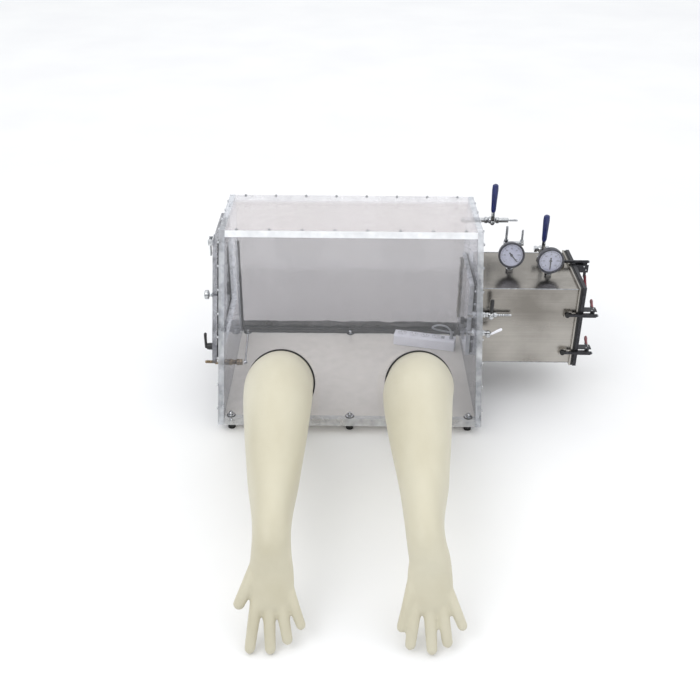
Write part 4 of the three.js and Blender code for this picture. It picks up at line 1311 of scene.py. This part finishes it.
def add_left_door_knob():
    out = axes(pivot("left_door_knob_turn"), Y, -X)
    knob = Shape("chrome")
    profile = [(0, 0.3), (9, 0.3), (9, 3), (6.5, 5), (6.5, 12), (10, 14.2), (15, 15)]
    profile += [(16, 17), (16, 26), (14, 29), (8, 29.8), (0, 30)]
    knob.turned(out, profile, "chrome", 72, 18, 0.7)
    knob.turned(out, DOOR_STUD, "chrome", 16)
    knob.piece("side_door_knob", "left_door_knob", "chrome", "left_door_knob")


def add_left_door_latch():
    centre = pivot("left_door_latch_turn")
    out = axes(centre, Y, -X)
    latch = Shape("black", "chrome")
    latch.turned(out, [(0, 0.3), (12, 0.3), (12, 14), (10.5, 21), (0, 22)], "black", 28)
    latch.turned(out, [(0, 21), (4.5, 21), (4.5, 23.5), (3, 24.5), (0, 24.5)], "chrome", 16)
    latch.turned(out, DOOR_STUD, "chrome", 16)
    lever = ((-24, -2, 6.6, 5.2), (-25, 18, 5.6, 4.4), (-25, 36, 6.4, 4.8), (-24.5, 48, 6.8, 5.2))
    rows = [[*(centre + Vector((x, 0, z))), wide, thick] for x, z, wide, thick in lever]
    latch.loft(domed(rows), "black", across=Y, sides=20)
    latch.piece("side_door_latch", "left_door_latch", "black_plastic", "left_door_latch")


def add_left_door_catch():
    centre = pivot("left_door_catch_lift")
    catch = Shape("chrome")
    pin = axes(centre, X, Y)
    catch.turned(pin, [(0, -18), (2.6, -18), (2.6, 18), (0, 18)], "chrome", 16)
    catch.turned(pin, [(0, -11), (4.5, -11), (5.5, -10), (5.5, 10), (4.5, 11), (0, 11)], "chrome", 24)
    catch.block(Matrix.Translation(centre + Vector((0, 0, -26))), (4.6, 21, 50), "chrome", 1.2)
    catch.block(Matrix.Translation(centre + Vector((-0.2, 0, -50))), (5.6, 21, 6), "chrome", 1.6)
    catch.piece("side_door_catch", "left_door_catch", "chrome", "left_door_catch")


def add_inner_door_knob():
    centre = pivot("inner_door_knob_turn")
    low, high = span("inner_door_knob")
    out = axes(Vector((high.x, centre.y, centre.z)), Y, -X)
    depth = high.x - low.x
    knob = Shape("black", "chrome")
    knob.turned(out, [(0, 0), (3.9, 0), (3.9, depth - 20), (0, depth - 20)], "chrome", 16)
    face = depth - 22
    profile = [(0, face), (9, face), (7, face + 4), (7, face + 7), (12, face + 9), (15, face + 12)]
    end = [(15, face + 18), (13, face + 21.5), (0, face + 22)]
    knob.turned(out, [*profile, *end], "black", 60, 6, 2.0)
    knob.piece("chamber_door_knob", "inner_door_knob", "black_plastic", "inner_door_knob")


def leaf_screws(name, body, face, y, heights):
    """A row of countersunk screws up the hinge leaf on a face."""
    head = [(0, 0), (4.2, 0), (3.6, 1.2), (1.6, 1.8), (1.4, 1.0), (0, 1.0)]
    made = Shape("chrome")
    for z in heights:
        made.turned(axes(Vector((face - LEAF, y, z)), Z, -X), head, "chrome", 16)
    made.piece(name, body, "chrome")


def add_hinge_screws():
    low, high = span("left_door_hinge_leaf")
    heights = evenly(low.z + 18, high.z - 18, 5)
    leaf_screws("screws_side_door_leaf", "left_door", span("left_door")[0].x, low.y + 12, heights)
    y = span("left_hinge_wall_leaf")[1].y - 12
    leaf_screws("screws_side_wall_leaf", "chamber", LEFT_WALL[0].x, y, heights)
    low, high = span("inner_door_hinge_leaf")
    heights = evenly(low.z + 16, high.z - 16, 4)
    leaf_screws("screws_inner_door_leaf", "inner_door", span("inner_door")[0].x, low.y + 10, heights)


# ---- power strip and gland ----
def add_strip_housing():
    low, high = span("power_strip")
    turn = Matrix.Rotation(math.radians(STRIP["turn"]), 4, "Z")
    base = Matrix.Translation(((low.x + high.x) / 2, (low.y + high.y) / 2, low.z)) @ turn
    length, width, height = STRIP["length"], STRIP["width"], STRIP["height"]
    half = width / 2
    section = [(-half, 1), (half, 1), (half, height - 7), (half - 6, height - 1), (6 - half, height - 1)]
    section.append((-half, height - 7))
    upright = base @ Matrix(((0, 0, 1, -length / 2), (1, 0, 0, 0), (0, 1, 0, 0), (0, 0, 0, 1)))
    strip = Shape("white", "black", "cable")
    strip.prism(upright, section, length, "white", 1.4)
    for k in range(4):
        socket = base @ Matrix.Translation((-88 + 44 * k, 0, height - 1.2))
        strip.block(socket @ Matrix.Translation((0, 0, 0.3)), (38, 36, 1.6), "white", 0.6)
        strip.ring(socket, [(14, 0.9), (15.4, 0.9), (15.4, 1.7), (14, 1.7)], "cable", 32)
        for x, y, long in ((-6, 4, 7), (6, 4, 7), (0, -8, 5)):
            slot = socket @ Matrix.Translation((x, y, 1.15))
            strip.block(slot, (2.2, long, 0.4), "black")
    switch = base @ Matrix.Translation((length / 2 - 48, 0, height - 1))
    strip.block(switch, (14, 20, 1.6), "cable", 0.5)
    for side in (-1, 1):
        for end in (-1, 1):
            foot = base @ Matrix.Translation((end * (length / 2 - 14), side * 15, 0.6))
            strip.block(foot, (12, 8, 1.2), "black")
    strip.piece("power_strip_housing", "chamber", "white_plastic", "power_strip")


def add_strain_relief():
    """The ribbed sleeve round the cord where it leaves the strip."""
    relief = Shape("cable")
    run = smooth_stations([[*point] for point in CORD_ROUTE[:5]], 80)
    steps = np.linalg.norm(np.diff(run, axis=0), axis=1)
    along = np.concatenate([[0], np.cumsum(steps)])
    rows = []
    for k in range(29):
        distance = RELIEF_LENGTH * k / 28
        point = [np.interp(distance, along, run[:, axis]) for axis in range(3)]
        ridge = 0.55 if k % 4 < 2 else 0.0
        radius = 9 if k < 2 else 7.0 - 2.9 * k / 28 + ridge
        rows.append([*point, radius, radius])
    relief.loft(rows, "cable", across=Y, sides=20)
    relief.piece("cord_strain_relief", "chamber", "cable")


def add_gland():
    low, high = span("cable_gland")
    inside, outside = RIGHT_WALL[0].x, RIGHT_WALL[1].x
    near = inside - 12
    gland = Shape("black")
    matrix = axes(Vector((0, (low.y + high.y) / 2, (low.z + high.z) / 2)), Z, X)
    nose = [(3.9, low.x), (6, low.x), (8, low.x + 3), (9, low.x + 8), (9, near), (3.9, near)]
    gland.ring(matrix, nose, "black", 32)
    for start, length, radius in ((near, 11.7, 14), (outside + 0.3, 8, 16), (outside + 14, 8, 14)):
        gland.hexagon(matrix @ Matrix.Translation((0, 0, start)), radius, length, "black")
    gland.turned(matrix, [(0, near), (8.8, near), (8.8, outside + 15), (0, outside + 15)], "black", 24)
    dome = [(0, outside + 21), (12, outside + 21), (10, outside + 25), (7, outside + 26), (0, outside + 26)]
    gland.turned(matrix, dome, "black", 28)
    gland.piece("cord_gland", "chamber", "black_plastic", "cable_gland")


# ---- floor, lights ----
GROUND_REACH = 30
GROUND_HEIGHT = -0.0005


def add_floor():
    made = Nodes("studio_floor")
    made.set(Base_Color=made.colours(made.noise(1.5), (0.86, 0.86, 0.87), (0.9, 0.9, 0.9)), Roughness=0.9)
    data = bpy.data.meshes.new("studio_floor")
    signs = ((-1, -1), (1, -1), (1, 1), (-1, 1))
    corners = [(x * GROUND_REACH, y * GROUND_REACH, GROUND_HEIGHT) for x, y in signs]
    data.from_pydata(corners, [], [(0, 1, 2, 3)])
    data.materials.append(made.material)
    floor = add_object("studio_floor", data)


def add_light(name, place, target, size, brightness):
    """A rectangular softbox whose face has that brightness."""
    data = bpy.data.lights.new(name, "AREA")
    data.shape = "RECTANGLE"
    data.size, data.size_y = size
    data.energy = brightness * math.pi * size[0] * size[1]
    light = add_object(name, data)
    light.location = place
    light.rotation_mode = "QUATERNION"
    light.rotation_quaternion = (Vector(target) - Vector(place)).to_track_quat("-Z", "Y")


def add_lighting():
    world = bpy.data.worlds.new("studio")
    world.use_nodes = True
    background = world.node_tree.nodes["Background"]
    background.inputs["Color"].default_value = (0.94, 0.97, 1.0, 1)
    background.inputs["Strength"].default_value = 0.46
    bpy.context.scene.world = world
    target = (0, 0, 0.25)
    add_light("ceiling", (0, 3, 6), (0, 3, 0), (20, 24), 0.86)
    add_light("key", (-1.9, -2.2, 3.0), target, (2.0, 1.4), 3.0)
    add_light("fill", (2.6, -1.4, 1.8), target, (1.6, 1.6), 1.0)
    view = bpy.context.scene.view_settings
    view.view_transform = "Standard"
    bpy.context.scene.cycles.transparent_max_bounces = 32


# ---- the whole ----
add_camera()
add_cord()
dress_cad()
for hand in HANDS:
    add_glove(hand)
    add_band(hand)
add_feet()
add_screws()
add_sealant()
add_edge_highlight_rods()
for side in ("left", "right"):
    add_gauge(side)
add_levers()
for valve in WALL_VALVES:
    add_wall_valve(valve)
add_chamber_valve()
add_drain_valve()
add_drain_lever()
add_manifold()
for clamp in CLAMP_NAMES:
    add_clamp(clamp)
add_left_door_knob()
add_left_door_latch()
add_left_door_catch()
add_inner_door_knob()
add_hinge_screws()
add_strip_housing()
add_strain_relief()
add_gland()
add_floor()
add_lighting()
